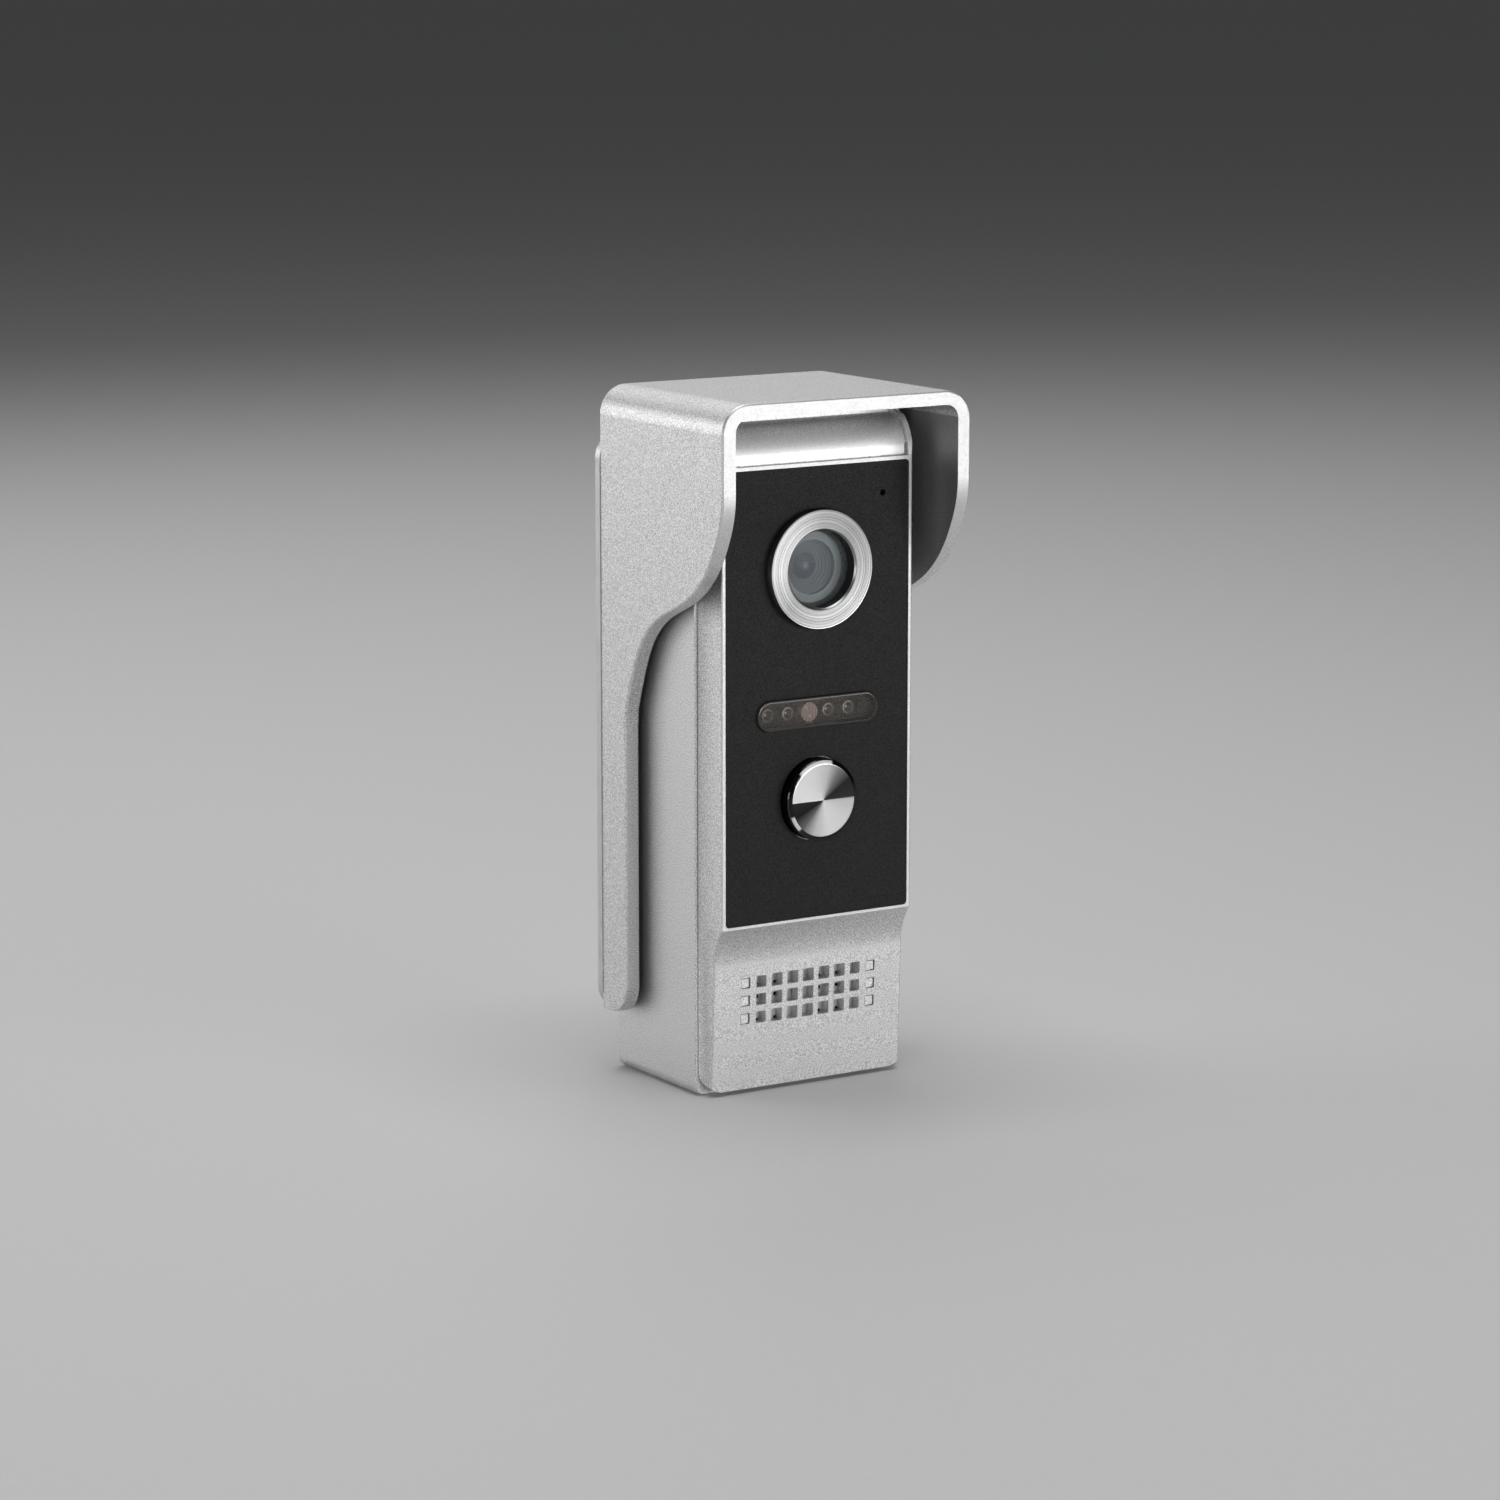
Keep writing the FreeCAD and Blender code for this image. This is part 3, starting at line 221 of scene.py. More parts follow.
def silver_paint(name, base, front_y, fade, inside=None, brow_z=None):
    """Metallic silver paint with fine flakes and brighter milled edges at the front.

    inside is the half width and the height that bound the hood's inner faces, which get a painted
    shade, and brow_z is the height from which up the forward faces get a painted highlight as well.
    """
    s = Shader(name)
    spot = s.node("ShaderNodeSeparateXYZ", Vector=s.coords.outputs["Object"])
    flakes = s.noise(FLAKE_SIZE, 3.0)
    clouds = s.noise(1.6 * MM, 2.0)
    tone = s.ramp(flakes, (0.33, base * 0.56), (0.50, base), (0.67, min(1.0, base * 1.50)))
    shade = s.ramp(clouds, (0.3, 0.965), (0.7, 1.0))
    colour = s.mix(1.0, tone, shade, "MULTIPLY")
    if inside is not None:
        # Painted shade: the hood's inner faces, within half_width of the middle and below height, are
        # darkened.
        half_width, height = inside
        across = s.math("LESS_THAN", s.math("ABSOLUTE", spot.outputs["X"]), half_width)
        mask = s.math("MULTIPLY", across, s.math("LESS_THAN", spot.outputs["Z"], height))
        colour = s.mix(mask, colour, s.mix(1.0, colour, (0.56, 0.56, 0.57, 1), "MULTIPLY"))
    milled = s.math("MULTIPLY", forward_face_mask(s, spot, front_y, fade), 0.8)
    colour = s.mix(milled, colour, s.ramp(clouds, (0.3, 0.67), (0.7, 0.72)))
    if brow_z is not None:
        # Painted highlight: the forward faces above brow_z near the front get a bright, even tone.
        above = s.math("GREATER_THAN", spot.outputs["Z"], brow_z)
        brow = s.math("MULTIPLY", above, forward_face_mask(s, spot, front_y, BROW_HIGHLIGHT_DEPTH))
        colour = s.mix(brow, colour, s.ramp(flakes, (0.3, 0.90), (0.7, 1.0)))
    s.link(colour, "Base Color")
    s.link(s.spread(flakes, 0.53, 0.37), "Roughness")
    s.bump(flakes, 0.012 * MM, s.bump(clouds, 0.012 * MM))
    s.set(Metallic=0.88)
    return s.material


def hood_silver():
    low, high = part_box("rain_hood")
    # These bounds mark the hood's inner faces for a painted shade.
    inside = (high.x - HOOD_SIDE_WALL + 0.1 * MM, high.z - HOOD_TOP_WALL - HOOD_INNER_ROUND)
    return silver_paint("hood_silver", 0.70, low.y, HOOD_EDGE_FADE, inside)


def body_silver():
    front_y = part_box("front_cover")[0].y
    # The forward faces above the front panel get a painted highlight.
    brow_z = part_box("front_panel")[1].z + BROW_GAP
    return silver_paint("body_silver", 0.72, front_y, COVER_EDGE_FADE, brow_z=brow_z)


def plate_silver():
    """Silver sheet with a fine rolled grain along its height."""
    s = Shader("plate_silver")
    grain = s.noise(0.18 * MM, 2.0, (1, 1, 18))
    s.link(s.ramp(grain, (0.3, 0.52), (0.7, 0.66)), "Base Color")
    s.link(s.spread(grain, 0.34, 0.46), "Roughness")
    s.bump(grain, 0.006 * MM)
    s.set(Metallic=0.9)
    return s.material


def panel_black():
    """Matt black panel with a very fine leather-like spark finish."""
    s = Shader("panel_black")
    grain = s.noise(0.26 * MM, 3.0)
    haze = s.noise(9 * MM, 2.0)
    tone = s.ramp(grain, (0.35, 0.0030), (0.70, 0.0190))
    s.link(s.mix(1.0, tone, s.ramp(haze, (0.3, 0.85), (0.7, 1.0)), "MULTIPLY"), "Base Color")
    s.link(s.spread(grain, 0.66, 0.48), "Roughness")
    s.bump(grain, 0.022 * MM)
    s.bsdf.inputs["Specular IOR Level"].default_value = 0.26
    return s.material


def turned_tone(s, centre_z, stops):
    """Grey by the angle round a turned face's axis, from (angle share, grey) stops."""
    moved = s.node("ShaderNodeVectorMath", Vector=s.coords.outputs["Object"])
    moved.operation = "SUBTRACT"
    moved.inputs[1].default_value = (0, 0, centre_z)
    parts = s.node("ShaderNodeSeparateXYZ", Vector=moved.outputs["Vector"])
    flat = s.node("ShaderNodeCombineXYZ", X=parts.outputs["X"], Y=parts.outputs["Z"])
    angle = s.node("ShaderNodeTexGradient", Vector=flat.outputs["Vector"])
    angle.gradient_type = "RADIAL"
    return s.ramp(angle.outputs["Fac"], *stops), moved.outputs["Vector"]


def radius_of(s, vector):
    """Distance from the turning axis."""
    flat = s.node("ShaderNodeVectorMath", Vector=vector)
    flat.operation = "MULTIPLY"
    flat.inputs[1].default_value = (1, 0, 1)
    length = s.node("ShaderNodeVectorMath", Vector=flat.outputs["Vector"])
    length.operation = "LENGTH"
    return length.outputs["Value"]


def turning_lines(s, radius, pitch):
    """Uneven rings, as a turning tool leaves them."""
    along = s.node("ShaderNodeCombineXYZ", X=s.math("DIVIDE", radius, pitch))
    return s.node(
        "ShaderNodeTexNoise", Vector=along.outputs["Vector"], Scale=1.0, Detail=1.0
    ).outputs["Fac"]


def spun_metal():
    """Turned bezel: aluminium with uneven tool rings, and light and dark painted reflections that turn with
    the angle.
    """
    s = Shader("spun_metal")
    centre_z = middle_z("lens_ring")
    reflection_sectors, moved = turned_tone(
        s, centre_z, [
            (0.0, 1.0), (0.06, 0.82), (0.125, 0.64), (0.25, 0.94), (0.375, 1.0), (0.5, 0.66), (0.625, 0.44),
            (0.75, 0.50), (0.875, 0.84), (1.0, 1.0),
        ],
    )
    rings = turning_lines(s, radius_of(s, moved), 0.42 * MM)
    tone = s.ramp(rings, (0.36, 0.32), (0.64, 0.58))
    s.link(s.mix(1.0, tone, reflection_sectors, "MULTIPLY"), "Base Color")
    s.link(s.spread(rings, 0.20, 0.34), "Roughness")
    s.set(Metallic=1.0)
    return s.material


def button_face():
    """Spun steel face with fine rings, and light and dark painted reflections that turn with the angle."""
    s = Shader("button_face")
    centre_z = middle_z("button_cap")
    stops = [
        (0.0, 0.035), (0.07, 0.020), (0.13, 0.16), (0.20, 0.66), (0.28, 0.92), (0.40, 0.84), (0.495, 0.66),
        (0.503, 0.045), (0.59, 0.030), (0.66, 0.22), (0.72, 0.60), (0.80, 0.80), (0.92, 0.92), (0.997, 0.96),
    ]
    reflection_sectors, moved = turned_tone(s, centre_z, stops)
    rings = turning_lines(s, radius_of(s, moved), 0.14 * MM)
    tone = s.ramp(rings, (0.2, 0.80), (0.7, 0.96))
    s.link(s.mix(1.0, tone, reflection_sectors, "MULTIPLY"), "Base Color")
    s.link(s.spread(rings, 0.16, 0.26), "Roughness")
    s.set(Metallic=1.0)
    return s.material


def button_chrome():
    """Polished chrome on the cap's bevel and side, with faint polishing marks; its near-black colour is a
    painted dark reflection.
    """
    s = Shader("button_chrome")
    marks = s.noise(0.5 * MM, 2.0, (1, 6, 1))
    s.link(s.ramp(marks, (0.3, 0.045), (0.7, 0.065)), "Base Color")
    s.link(s.spread(marks, 0.04, 0.09), "Roughness")
    s.set(Metallic=1.0)
    return s.material


def button_bevel():
    """Polished bevel painted near-black as a dark reflection, with two bright painted reflections placed by
    angle.
    """
    s = Shader("button_bevel")
    centre_z = middle_z("button_cap")
    stops = [
        (0.0, 0.030), (0.055, 0.03), (0.065, 0.85), (0.12, 0.90), (0.13, 0.05), (0.30, 0.03), (0.70, 0.04),
        (0.712, 0.90), (0.865, 0.95), (0.878, 0.05), (1.0, 0.03),
    ]
    reflection_patches, moved = turned_tone(s, centre_z, stops)
    rings = turning_lines(s, radius_of(s, moved), 0.10 * MM)
    s.link(s.mix(1.0, reflection_patches, s.ramp(rings, (0.3, 0.85), (0.7, 1.0)), "MULTIPLY"), "Base Color")
    s.link(s.ramp(reflection_patches, (0.1, 0.12), (0.8, 0.50)), "Roughness")
    s.link(s.ramp(reflection_patches, (0.1, 1.0), (0.8, 0.35)), "Metallic")
    return s.material


def clear_glass():
    """Thin clear cover glass with a faint smear."""
    s = Shader("clear_glass")
    smear = s.noise(2.5 * MM, 2.0)
    s.link(s.ramp(smear, (0.3, (0.30, 0.34, 0.36)), (0.7, (0.36, 0.40, 0.42))), "Base Color")
    s.link(s.spread(smear, 0.03, 0.07), "Roughness")
    s.set(Alpha=0.18)
    return s.material


def lens_glass():
    """Coated front lens: grey-blue glass that half shows what lies behind it."""
    s = Shader("lens_glass")
    cast = s.noise(1.6 * MM, 1.0)
    s.link(s.ramp(cast, (0.3, (0.13, 0.145, 0.165)), (0.7, (0.16, 0.175, 0.20))), "Base Color")
    s.link(s.spread(cast, 0.04, 0.08), "Roughness")
    s.set(Alpha=0.22)
    return s.material


def lens_core():
    """Small rear lens, violet, with a painted glow that is lightest in the middle."""
    s = Shader("lens_core")
    centre_z = middle_z("lens_ring")
    even, moved = turned_tone(s, centre_z, [(0.0, 0.95), (0.5, 1.0), (1.0, 0.95)])
    share = s.math("DIVIDE", radius_of(s, moved), 1.6 * MM)
    glow = s.ramp(
        share, (0.0, (1.0, 0.90, 1.0)), (0.22, (0.62, 0.50, 0.80)), (0.6, (0.20, 0.17, 0.30)),
        (1.0, (0.12, 0.12, 0.18)),
    )
    s.link(s.mix(1.0, glow, even, "MULTIPLY"), "Base Color")
    s.link(s.spread(s.noise(1.2 * MM, 1.0), 0.18, 0.26), "Roughness")
    return s.material


def barrel_grey():
    """Satin grey anodised mount with fine turning lines."""
    s = Shader("barrel_grey")
    centre_z = middle_z("lens_ring")
    tones, moved = turned_tone(s, centre_z, [(0.0, 0.9), (0.5, 1.0), (1.0, 0.9)])
    rings = turning_lines(s, radius_of(s, moved), 0.25 * MM)
    tone = s.ramp(rings, (0.3, (0.27, 0.30, 0.315)), (0.7, (0.38, 0.41, 0.42)))
    s.link(s.mix(1.0, tone, tones, "MULTIPLY"), "Base Color")
    s.link(s.spread(rings, 0.35, 0.50), "Roughness")
    s.set(Metallic=0.3)
    return s.material


def smoked_window():
    """Smoked brown cover over the night lights."""
    s = Shader("smoked_window")
    haze = s.noise(3.0 * MM, 2.0)
    s.link(s.ramp(haze, (0.3, (0.230, 0.211, 0.193)), (0.7, (0.250, 0.230, 0.212))), "Base Color")
    s.link(s.spread(haze, 0.10, 0.16), "Roughness")
    s.set(Alpha=0.17)
    return s.material


def smoked_edge():
    """The window's solid rim and skirt, where the smoked plastic is thick."""
    dark, light = (0.034, 0.029, 0.025), (0.046, 0.040, 0.035)
    return moulded("smoked_edge", dark, light, 0.12, grain=0.8 * MM, depth=0.002 * MM)


def led_clear():
    """Water-clear diode body with slight moulding swirls."""
    s = Shader("led_clear")
    swirl = s.noise(0.7 * MM, 2.0)
    s.link(s.ramp(swirl, (0.3, (0.62, 0.56, 0.50)), (0.7, (0.80, 0.74, 0.68))), "Base Color")
    s.link(s.spread(swirl, 0.05, 0.12), "Roughness")
    s.set(Alpha=0.08)
    return s.material


def sensor_face():
    """Photocell: pinkish tracks that wind over a pale ceramic."""
    s = Shader("sensor_face")
    wave = s.node("ShaderNodeTexWave", Vector=s.coords.outputs["Object"], Scale=420.0, Distortion=3.0)
    s.link(s.ramp(wave.outputs["Fac"], (0.30, (0.42, 0.28, 0.22)), (0.7, (0.56, 0.42, 0.34))), "Base Color")
    s.link(s.spread(wave.outputs["Fac"], 0.3, 0.5), "Roughness")
    s.bump(wave.outputs["Fac"], 0.03 * MM)
    return s.material


def moulded(name, dark, light, rough, grain=0.35 * MM, depth=0.012 * MM, metallic=0.0, stretch=(1, 1, 1)):
    """A fine-grained solid finish between two tones, for moulded, painted, cast or pressed pieces."""
    s = Shader(name)
    fine = s.noise(grain, 3.0, stretch)
    broad = s.noise(grain * 14, 2.0)
    tone = s.ramp(fine, (0.3, dark), (0.7, light))
    s.link(s.mix(1.0, tone, s.ramp(broad, (0.3, 0.88), (0.7, 1.0)), "MULTIPLY"), "Base Color")
    s.link(s.spread(fine, rough + 0.07, rough - 0.07), "Roughness")
    s.bump(fine, depth)
    s.set(Metallic=metallic)
    return s.material


def black_plastic():
    return moulded("black_plastic", (0.010, 0.010, 0.011), (0.024, 0.024, 0.025), 0.45)


def grey_plastic():
    return moulded("grey_plastic", (0.16, 0.165, 0.17), (0.22, 0.225, 0.23), 0.5)


def green_plastic():
    return moulded("green_plastic", (0.02, 0.19, 0.06), (0.03, 0.27, 0.09), 0.38)


def black_rubber():
    return moulded("black_rubber", (0.008, 0.008, 0.008), (0.020, 0.020, 0.020), 0.75, depth=0.03 * MM)


def grey_foam():
    dark, light = (0.05, 0.05, 0.052), (0.15, 0.15, 0.155)
    return moulded("grey_foam", dark, light, 0.9, grain=0.5 * MM, depth=0.12 * MM)


def steel():
    return moulded("steel", 0.48, 0.64, 0.30, grain=0.25 * MM, depth=0.005 * MM, metallic=1.0)


def mesh_silver():
    return moulded("mesh_silver", 0.80, 0.94, 0.55, grain=0.22 * MM, depth=0.010 * MM, metallic=0.15)


def spring_steel():
    return moulded("spring_steel", 0.38, 0.60, 0.24, grain=0.15 * MM, metallic=1.0, stretch=(8, 1, 8))


def speaker_paper():
    dark, light = (0.018, 0.017, 0.016), (0.06, 0.058, 0.055)
    return moulded("speaker_paper", dark, light, 0.85, grain=0.45 * MM, depth=0.08 * MM)


def magnet_dark():
    return moulded("magnet_dark", 0.06, 0.10, 0.50, grain=0.6 * MM, depth=0.03 * MM, metallic=0.5)


def board_green():
    """Solder mask with faint tracks under it."""
    s = Shader("board_green")
    scaled = s.node("ShaderNodeVectorMath", Vector=s.coords.outputs["Object"])
    scaled.operation = "DIVIDE"
    scaled.inputs[1].default_value = (1.3 * MM, 1.0, 1.3 * MM)
    cells = s.node("ShaderNodeTexVoronoi", Vector=scaled.outputs["Vector"], Scale=1.0, Randomness=0.6)
    cells.distance = "CHEBYCHEV"
    cells.feature = "F1"
    tracks = s.ramp(cells.outputs["Distance"], (0.36, (0.010, 0.085, 0.035)), (0.42, (0.016, 0.13, 0.05)))
    s.link(tracks, "Base Color")
    s.bump(cells.outputs["Distance"], 0.02 * MM)
    s.link(s.spread(s.noise(0.8 * MM), 0.28, 0.42), "Roughness")
    return s.material


def component_black():
    return moulded("component_black", 0.014, 0.030, 0.42, grain=0.2 * MM)


def capacitor_sleeve():
    return moulded("capacitor_sleeve", (0.012, 0.020, 0.05), (0.018, 0.030, 0.075), 0.28)


SLOT_MAKERS = [
    hood_silver, body_silver, plate_silver, panel_black, spun_metal, button_chrome, clear_glass,
    lens_glass, smoked_window, led_clear, sensor_face, black_plastic, grey_plastic, green_plastic,
    black_rubber, grey_foam, steel, mesh_silver, spring_steel, speaker_paper, magnet_dark, board_green,
    component_black, capacitor_sleeve,
]
MATERIALS = {maker.__name__: maker() for maker in SLOT_MAKERS}


def paint_nodes():
    """Gives every CAD node the material of its slot."""
    for part in frame["record"]["subparts"]:
        slots = NODES[part["node"]].data.materials
        slots.clear()
        slots.append(MATERIALS[part["material_slot"]])


# ---------------------------------------------------------------- turned pieces


def grooved(start_r, end_r, depth_at, pitch, groove):
    """Profile points of a face with fine V grooves from one radius to another."""
    count = max(2, round(abs(end_r - start_r) / pitch))
    points = []
    for index in range(2 * count + 1):
        radius = start_r + (end_r - start_r) * index / (2 * count)
        points.append((radius, depth_at + (groove if index % 2 else 0.0)))
    return points


def closed_piece(name, vertices, faces, materials, face_slots):
    """A closed mesh object whose faces all look outward."""
    mesh = bpy.data.meshes.new(name)
    mesh.from_pydata(vertices, [], faces)
    for material in materials:
        mesh.materials.append(material)
    mesh.polygons.foreach_set("material_index", face_slots)
    mesh.validate()
    shell = bmesh.new()
    shell.from_mesh(mesh)
    if shell.calc_volume(signed=True) < 0:
        bmesh.ops.reverse_faces(shell, faces=shell.faces)
    shell.to_mesh(mesh)
    shell.free()
    mesh.shade_smooth()
    mesh.set_sharp_from_angle(angle=math.radians(32))
    piece = bpy.data.objects.new(name, mesh)
    bpy.context.scene.collection.objects.link(piece)
    return piece


def turned(name, centre_z, profile, materials, slot_of_face):
    """A closed turned mesh about the line along Y at height centre_z; profile is a list of (radius, y)."""
    vertices, rings = [], []
    for radius, y in profile:
        if radius < 1e-7:
            rings.append([len(vertices)] * TURNED_SEGMENTS)
            vertices.append((0, y, centre_z))
            continue
        rings.append(list(range(len(vertices), len(vertices) + TURNED_SEGMENTS)))
        for step in range(TURNED_SEGMENTS):
            angle = 2 * math.pi * step / TURNED_SEGMENTS
            vertices.append((radius * math.cos(angle), y, centre_z + radius * math.sin(angle)))
    faces, face_slots = [], []
    pairs = list(zip(rings, rings[1:]))
    if profile[0][0] > 1e-7:
        pairs.append((rings[-1], rings[0]))
    for number, (first, second) in enumerate(pairs):
        for step in range(TURNED_SEGMENTS):
            after = (step + 1) % TURNED_SEGMENTS
            corners = [first[step], first[after], second[after], second[step]]
            corners = list(dict.fromkeys(corners))
            faces.append(corners)
            face_slots.append(slot_of_face(number))
    return closed_piece(name, vertices, faces, materials, face_slots)


def place(piece, body, slot, *nodes):
    """Fixes a piece to its body, in place of the CAD nodes it stands for."""
    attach(piece, body)
    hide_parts(*nodes)


def make_lens_ring():
    """The bezel, with tool rings cut in its face."""
    low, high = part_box("lens_ring")
    outer, centre_z, face, rear = high.x, (low.z + high.z) / 2, low.y, high.y
    flange = low.y + 1.8 * MM
    bevel = 0.3 * MM
    spigot = 8.6 * MM
    seat = 8.1 * MM
    glass = flange + 0.9 * MM
    profile = [(RING_BORE_R, face + bevel)]
    edge_r = outer - RING_EDGE_STEP
    profile += grooved(RING_BORE_R + bevel, edge_r, face, RING_GROOVE_PITCH, RING_GROOVE_DEPTH)
    profile += [
        (outer - 0.18 * MM, face + 0.16 * MM), (outer, face + 0.45 * MM), (outer, flange),
        (spigot, flange), (spigot, rear), (seat, rear), (seat, glass), (RING_BORE_R, glass),
    ]
    piece = turned(
        "lens_ring_spun", centre_z, profile[::-1],
        [MATERIALS["spun_metal"], MATERIALS["button_chrome"]],
        lambda strip: 1 if strip in (0, len(profile) - 1) else 0,
    )
    place(piece, "station", "spun_metal", "lens_ring")


def make_button_cap():
    """The cap with its spun face, polished bevel and grooved side."""
    low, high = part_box("button_cap")
    outer, centre_z, face, rear = high.x, (low.z + high.z) / 2, low.y, high.y
    bore = 6.4 * MM
    web = face + 3.2 * MM
    front_groove_r, rear_groove_r = 7.7 * MM, 7.6 * MM
    spun = grooved(0.0, CAP_FACE_R - 0.08 * MM, face, CAP_GROOVE_PITCH, CAP_GROOVE_DEPTH)
    side = [
        (CAP_FACE_R, face + 0.02 * MM), (CAP_FACE_R + 0.35 * MM, face + 0.12 * MM),
        (outer - 0.25 * MM, face + 0.30 * MM), (outer - 0.05 * MM, face + 0.52 * MM),
        (outer, face + 0.8 * MM), (outer, rear - 2.8 * MM), (front_groove_r, rear - 2.8 * MM),
        (front_groove_r, rear - 2.0 * MM), (outer, rear - 2.0 * MM), (outer, rear - 1.3 * MM),
        (rear_groove_r, rear - 1.3 * MM), (rear_groove_r, rear - 0.5 * MM), (outer, rear - 0.5 * MM),
        (outer, rear), (bore, rear), (bore, web), (0.0, web),
    ]
    profile = spun + side
    piece = turned(
        "button_cap_spun", centre_z, profile,
        [button_face(), MATERIALS["button_chrome"], button_bevel()],
        lambda strip: 0 if strip < len(spun) else 2 if strip < len(spun) + 2 else 1,
    )
    place(piece, "button", "button_chrome", "button_cap")


def make_return_spring():
    """The return spring: a copy of the CAD spring's mesh, standing in for the CAD node."""
    cad = NODES["button_return_spring"]
    piece = bpy.data.objects.new("return_spring_coil", cad.data.copy())
    piece.matrix_world = cad.matrix_world.copy()
    bpy.context.scene.collection.objects.link(piece)
    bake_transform(piece)
    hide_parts("button_return_spring")


def make_lens():
    """Behind the bezel: a grey mount with stepped rings, a shallow front dome and a violet rear lens with a
    painted glow.
    """
    centre_z = middle_z("lens_ring")
    glass_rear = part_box("lens_window")[1].y
    mount_r, seat_r, edge = 7.15 * MM, 5.45 * MM, 0.15 * MM
    step_count, step_in, step_slope, step_back = 5, 0.55 * MM, 0.10 * MM, 0.28 * MM
    front = glass_rear + edge
    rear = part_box("lens_barrel")[1].y
    profile = [(mount_r, rear), (mount_r, front + edge), (mount_r - edge, front), (seat_r, front)]
    radius, y = seat_r, front + 1.0 * MM
    for _ in range(step_count):
        profile.append((radius, y))
        radius -= step_in
        y += step_slope
        profile.append((radius, y))
        y += step_back
    profile.append((radius, rear))
    mount = turned("lens_mount_rings", centre_z, profile, [barrel_grey()], lambda strip: 0)
    place(mount, "station", "grey_plastic", "lens_barrel")
    sag, dome_edge = 0.55 * MM, front + 0.75 * MM
    shares = (0, 0.2, 0.4, 0.6, 0.8, 0.93, 1.0)
    dome = [(seat_r * share, dome_edge - sag * (1 - share**2)) for share in shares]
    dome += [(seat_r, dome_edge + edge), (0, dome_edge + edge)]
    front_dome = turned("lens_front_dome", centre_z, dome, [MATERIALS["lens_glass"]], lambda strip: 0)
    place(front_dome, "station", "lens_glass", "lens_front_element")
    core_r, core_y = radius, y + 0.1 * MM
    core = [(core_r * share, core_y - 0.9 * MM * (1 - share**2)) for share in (0, 0.25, 0.5, 0.75, 1.0)]
    core += [(core_r, core_y + 0.4 * MM), (0, core_y + 0.4 * MM)]
    violet = turned("lens_rear_element", centre_z, core, [lens_core()], lambda strip: 0)
    place(violet, "station", "lens_glass")


def pill_ring(half_length, half_height, inset, y, centre_z):
    """Points of a stadium outline at depth y, moved inward by inset."""
    radius = half_height - inset
    straight = half_length - half_height
    points = []
    for side, start in ((1, -math.pi / 2), (-1, math.pi / 2)):
        for step in range(PILL_SEGMENTS + 1):
            angle = start + math.pi * step / PILL_SEGMENTS
            x = side * straight + radius * math.cos(angle)
            points.append((x, y, centre_z + radius * math.sin(angle)))
    return points


def make_led_window():
    """The smoked window: a see-through plate in a solid rim, with its skirt and flange."""
    low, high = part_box("led_window")
    centre_z, front, rear = (low.z + high.z) / 2, low.y, high.y
    half_length, half_height = high.x - WINDOW_FLANGE, high.z - centre_z - WINDOW_FLANGE
    wall, plate = 0.7 * MM, 1.6 * MM
    outline = [
        (wall, front + plate), (wall, rear), (-WINDOW_FLANGE, rear), (-WINDOW_FLANGE, rear - 1.0 * MM),
        (0.0, rear - 1.0 * MM), (0.0, front + 0.35 * MM), (0.10 * MM, front + 0.10 * MM), (0.35 * MM, front),
        (0.50 * MM, front),
    ]
    vertices, count = [], 2 * (PILL_SEGMENTS + 1)
    for inset, y in outline:
        vertices += pill_ring(half_length, half_height, inset, y, centre_z)
    faces, face_slots = [list(range(count))], [0]
    for ring in range(len(outline) - 1):
        for step in range(count):
            after = (step + 1) % count
            first, second = ring * count, (ring + 1) * count
            faces.append([first + after, first + step, second + step, second + after])
            face_slots.append(1)
    faces.append(list(range(len(vertices) - 1, len(vertices) - 1 - count, -1)))
    face_slots.append(0)
    materials = [MATERIALS["smoked_window"], smoked_edge()]
    piece = closed_piece("led_window_plate", vertices, faces, materials, face_slots)
    place(piece, "station", "smoked_window", "led_window")


def cup_metal(centre_z):
    """Bright diode cup with a painted highlight, lightest on its upper left."""
    s = Shader("cup_metal")
    stops = [(0.0, 1.0), (0.14, 0.60), (0.25, 0.25), (0.60, 0.20), (0.70, 0.60), (0.78, 1.0), (1.0, 1.0)]
    reflection_sectors, _ = turned_tone(s, centre_z, stops)
    swirl = s.noise(0.4 * MM, 2.0)
    warm = s.ramp(swirl, (0.3, (1.0, 0.86, 0.68)), (0.7, (1.0, 0.95, 0.84)))
    s.link(s.mix(1.0, warm, reflection_sectors, "MULTIPLY"), "Base Color")
    s.link(s.spread(swirl, 0.22, 0.34), "Roughness")
    s.set(Metallic=0.2)
    return s.material


def cup_dark():
    return moulded("cup_dark", (0.035, 0.030, 0.026), (0.07, 0.06, 0.05), 0.30, grain=0.3 * MM)


def make_led_cups():
    """Reflector cups with bright lips and a bright chip, inside the diodes; the light upper left of both is
    a painted highlight.
    """
    low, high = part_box("infrared_leds")
    centre_z, tip = (low.z + high.z) / 2, low.y
    pitch = (high.x - low.x - 2 * LED_COLLAR_R) / 4
    paints = [cup_metal(centre_z), cup_dark()]
    cup_r = 1.36 * MM
    profile = [
        (0.0, tip + 1.9 * MM), (0.30 * MM, tip + 1.9 * MM), (0.42 * MM, tip + 2.3 * MM),
        (0.95 * MM, tip + 1.35 * MM), (1.10 * MM, tip + 0.95 * MM), (cup_r, tip + 1.15 * MM),
        (cup_r, tip + 2.9 * MM), (0.0, tip + 2.9 * MM),
    ]
    # Strips with the painted highlight: the chip and the lips.
    highlight_strips = (0, 3, 4)
    for number, step in enumerate((-2, -1, 1, 2), 1):
        cup = turned(
            f"led_cup_{number}", centre_z, profile, paints,
            lambda strip: 0 if strip in highlight_strips else 1,
        )
        cup.location.x = step * pitch
        place(cup, "station", "steel")


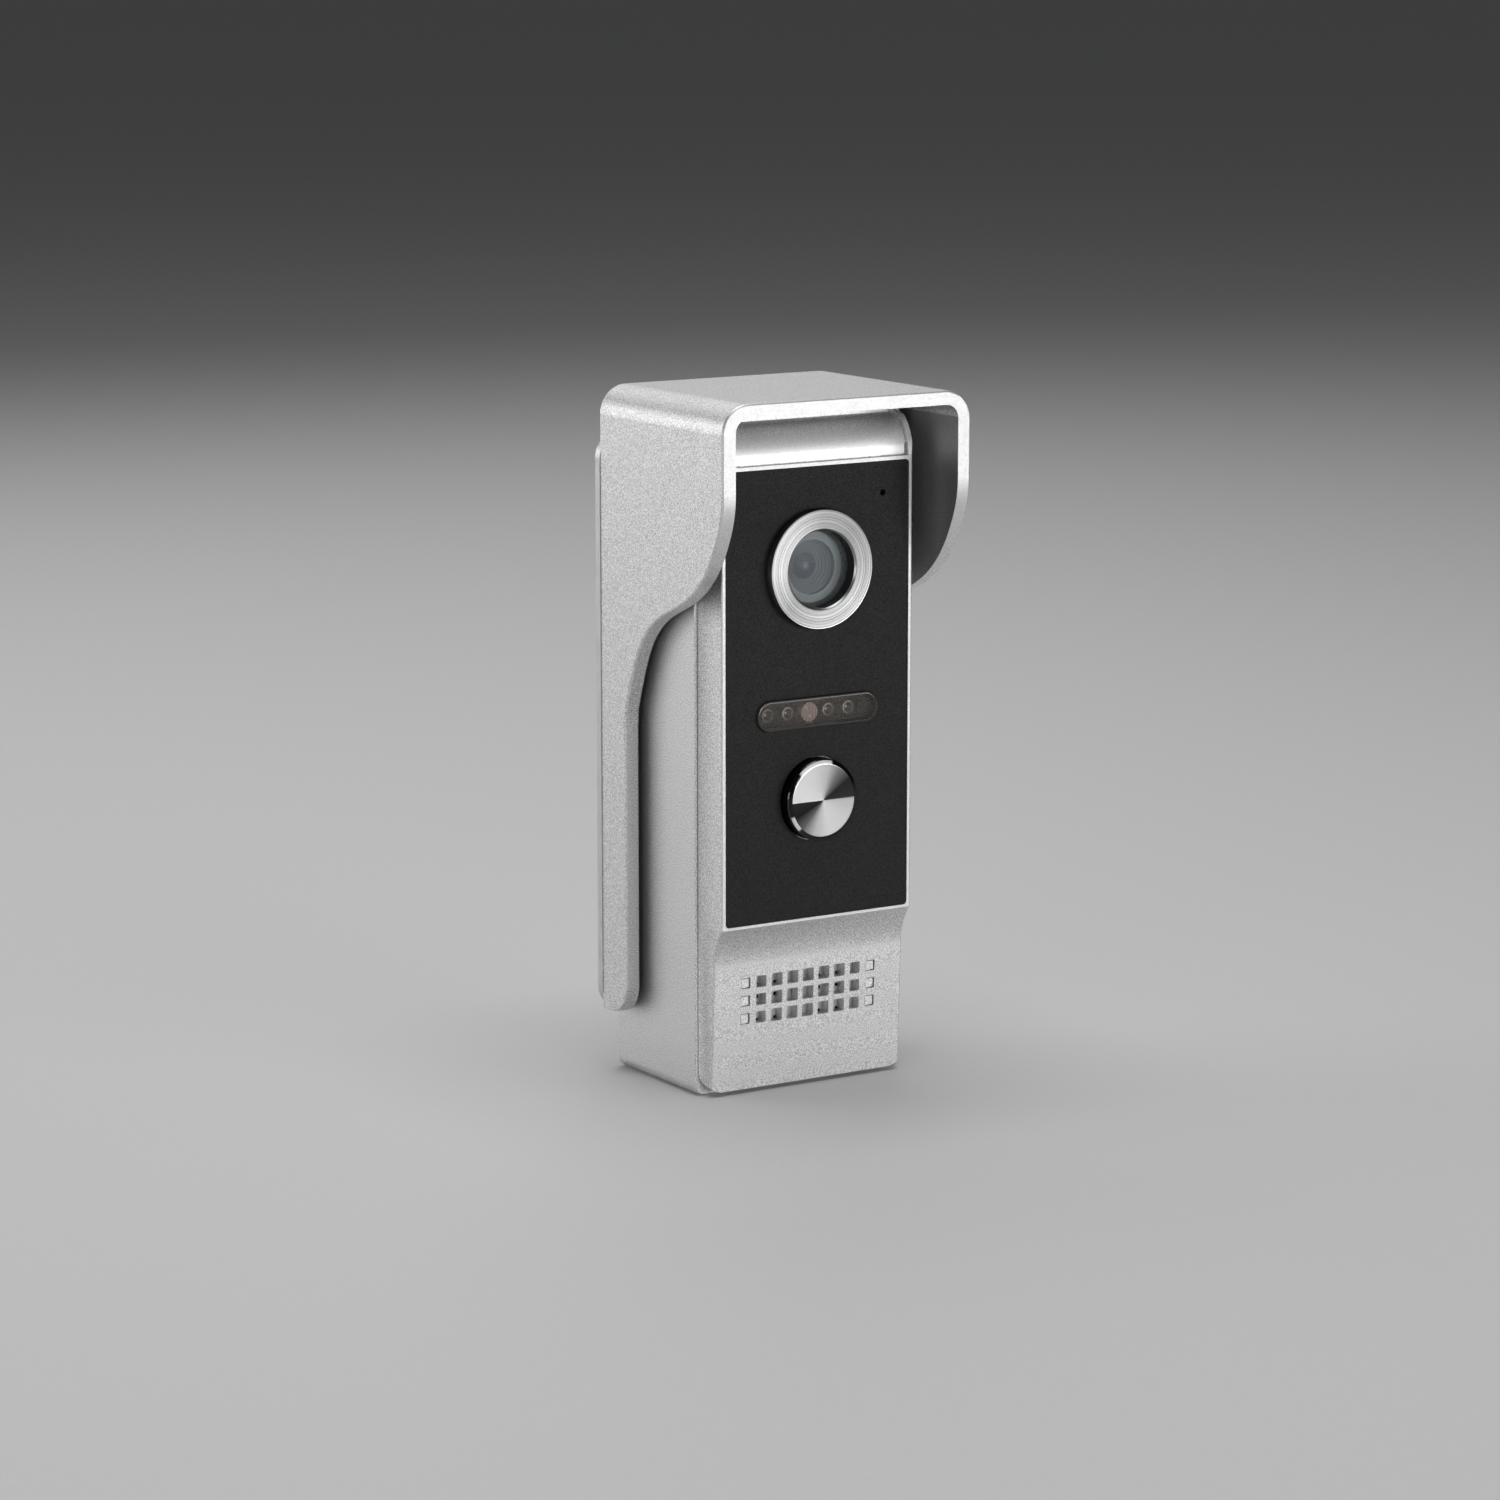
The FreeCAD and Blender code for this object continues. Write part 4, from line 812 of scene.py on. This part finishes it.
def make_sensor_pins():
    """The two bright pin ends on the photocell's face."""
    centre_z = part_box("infrared_leds")[0].z + LED_COLLAR_R
    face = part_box("light_sensor")[0].y
    pin_paint = moulded("pin_bright", (0.85, 0.74, 0.64), (0.98, 0.90, 0.80), 0.3, grain=0.2 * MM)
    for number, (x, z) in enumerate(((-0.75, 0.95), (0.0, -0.85)), 1):
        profile = [
            (0.0, face - 0.22 * MM), (0.20 * MM, face - 0.18 * MM), (0.30 * MM, face), (0.0, face),
        ]
        pin = turned(f"sensor_pin_{number}", centre_z + z * MM, profile, [pin_paint], lambda strip: 0)
        pin.location.x = x * MM
        place(pin, "station", "steel")


# ---------------------------------------------------------------- scene


def area_light(name, location, target, size, power, colour=(1, 1, 1)):
    """A soft rectangular light that faces its target."""
    light = bpy.data.lights.new(name, "AREA")
    light.shape = "RECTANGLE"
    light.size, light.size_y = size
    light.energy = power
    light.color = colour
    lamp = bpy.data.objects.new(name, light)
    lamp.visible_camera = False
    lamp.location = location
    lamp.rotation_euler = (Vector(target) - Vector(location)).to_track_quat("-Z", "Y").to_euler()
    bpy.context.scene.collection.objects.link(lamp)


def make_lights():
    middle = (0, 0, 0.07)
    area_light("front_softbox", (0.42, -1.05, 0.16), middle, (0.9, 0.4), 5.0)
    area_light("left_softbox", (-1.05, -0.6, 0.16), middle, (0.6, 0.28), 1.8)
    area_light("left_rear_softbox", (-0.9, 0.9, 0.35), middle, (0.8, 0.6), 4.0)
    area_light("rear_softbox", (0.15, 0.85, 0.82), middle, (1.2, 0.8), 3.1)
    area_light("top_softbox", (0.0, -0.1, 1.2), middle, (0.8, 0.8), 7.6)
    world = bpy.data.worlds.new("studio")
    world.use_nodes = True
    background = world.node_tree.nodes["Background"]
    background.inputs["Color"].default_value = (0.80, 0.81, 0.83, 1)
    background.inputs["Strength"].default_value = 0.08
    bpy.context.scene.world = world


def floor_pale():
    """Pale matt floor, almost even."""
    s = Shader("floor_pale")
    fine = s.noise(2 * MM, 2.0)
    s.link(s.ramp(fine, (0.3, 0.650), (0.7, 0.662)), "Base Color")
    s.link(s.spread(fine, 0.62, 0.66), "Roughness")
    return s.material


def make_floor():
    """A wide pale floor under the part."""
    half, z = 60.0, cad_bounds[0][2]
    mesh = bpy.data.meshes.new("floor")
    corners = [(-half, -half, z), (half, -half, z), (half, half, z), (-half, half, z)]
    mesh.from_pydata(corners, [], [(0, 1, 2, 3)])
    mesh.materials.append(floor_pale())
    floor = bpy.data.objects.new("floor", mesh)
    bpy.context.scene.collection.objects.link(floor)


def make_camera():
    camera = bpy.data.cameras.new("camera")
    camera.lens = CAMERA_LENS
    camera.clip_start = 0.01
    eye = bpy.data.objects.new("camera", camera)
    flat = math.cos(CAMERA_ELEVATION)
    back = Vector((
        math.sin(CAMERA_AZIMUTH) * flat, -math.cos(CAMERA_AZIMUTH) * flat, math.sin(CAMERA_ELEVATION),
    ))
    eye.location = CAMERA_TARGET + back * CAMERA_DISTANCE
    eye.rotation_euler = (-back).to_track_quat("-Z", "Y").to_euler()
    bpy.context.scene.collection.objects.link(eye)
    bpy.context.scene.camera = eye


paint_nodes()
make_lens_ring()
make_button_cap()
make_return_spring()
make_lens()
make_led_window()
make_led_cups()
make_sensor_pins()
make_lights()
make_floor()
make_camera()
bpy.context.scene.view_settings.view_transform = "Standard"
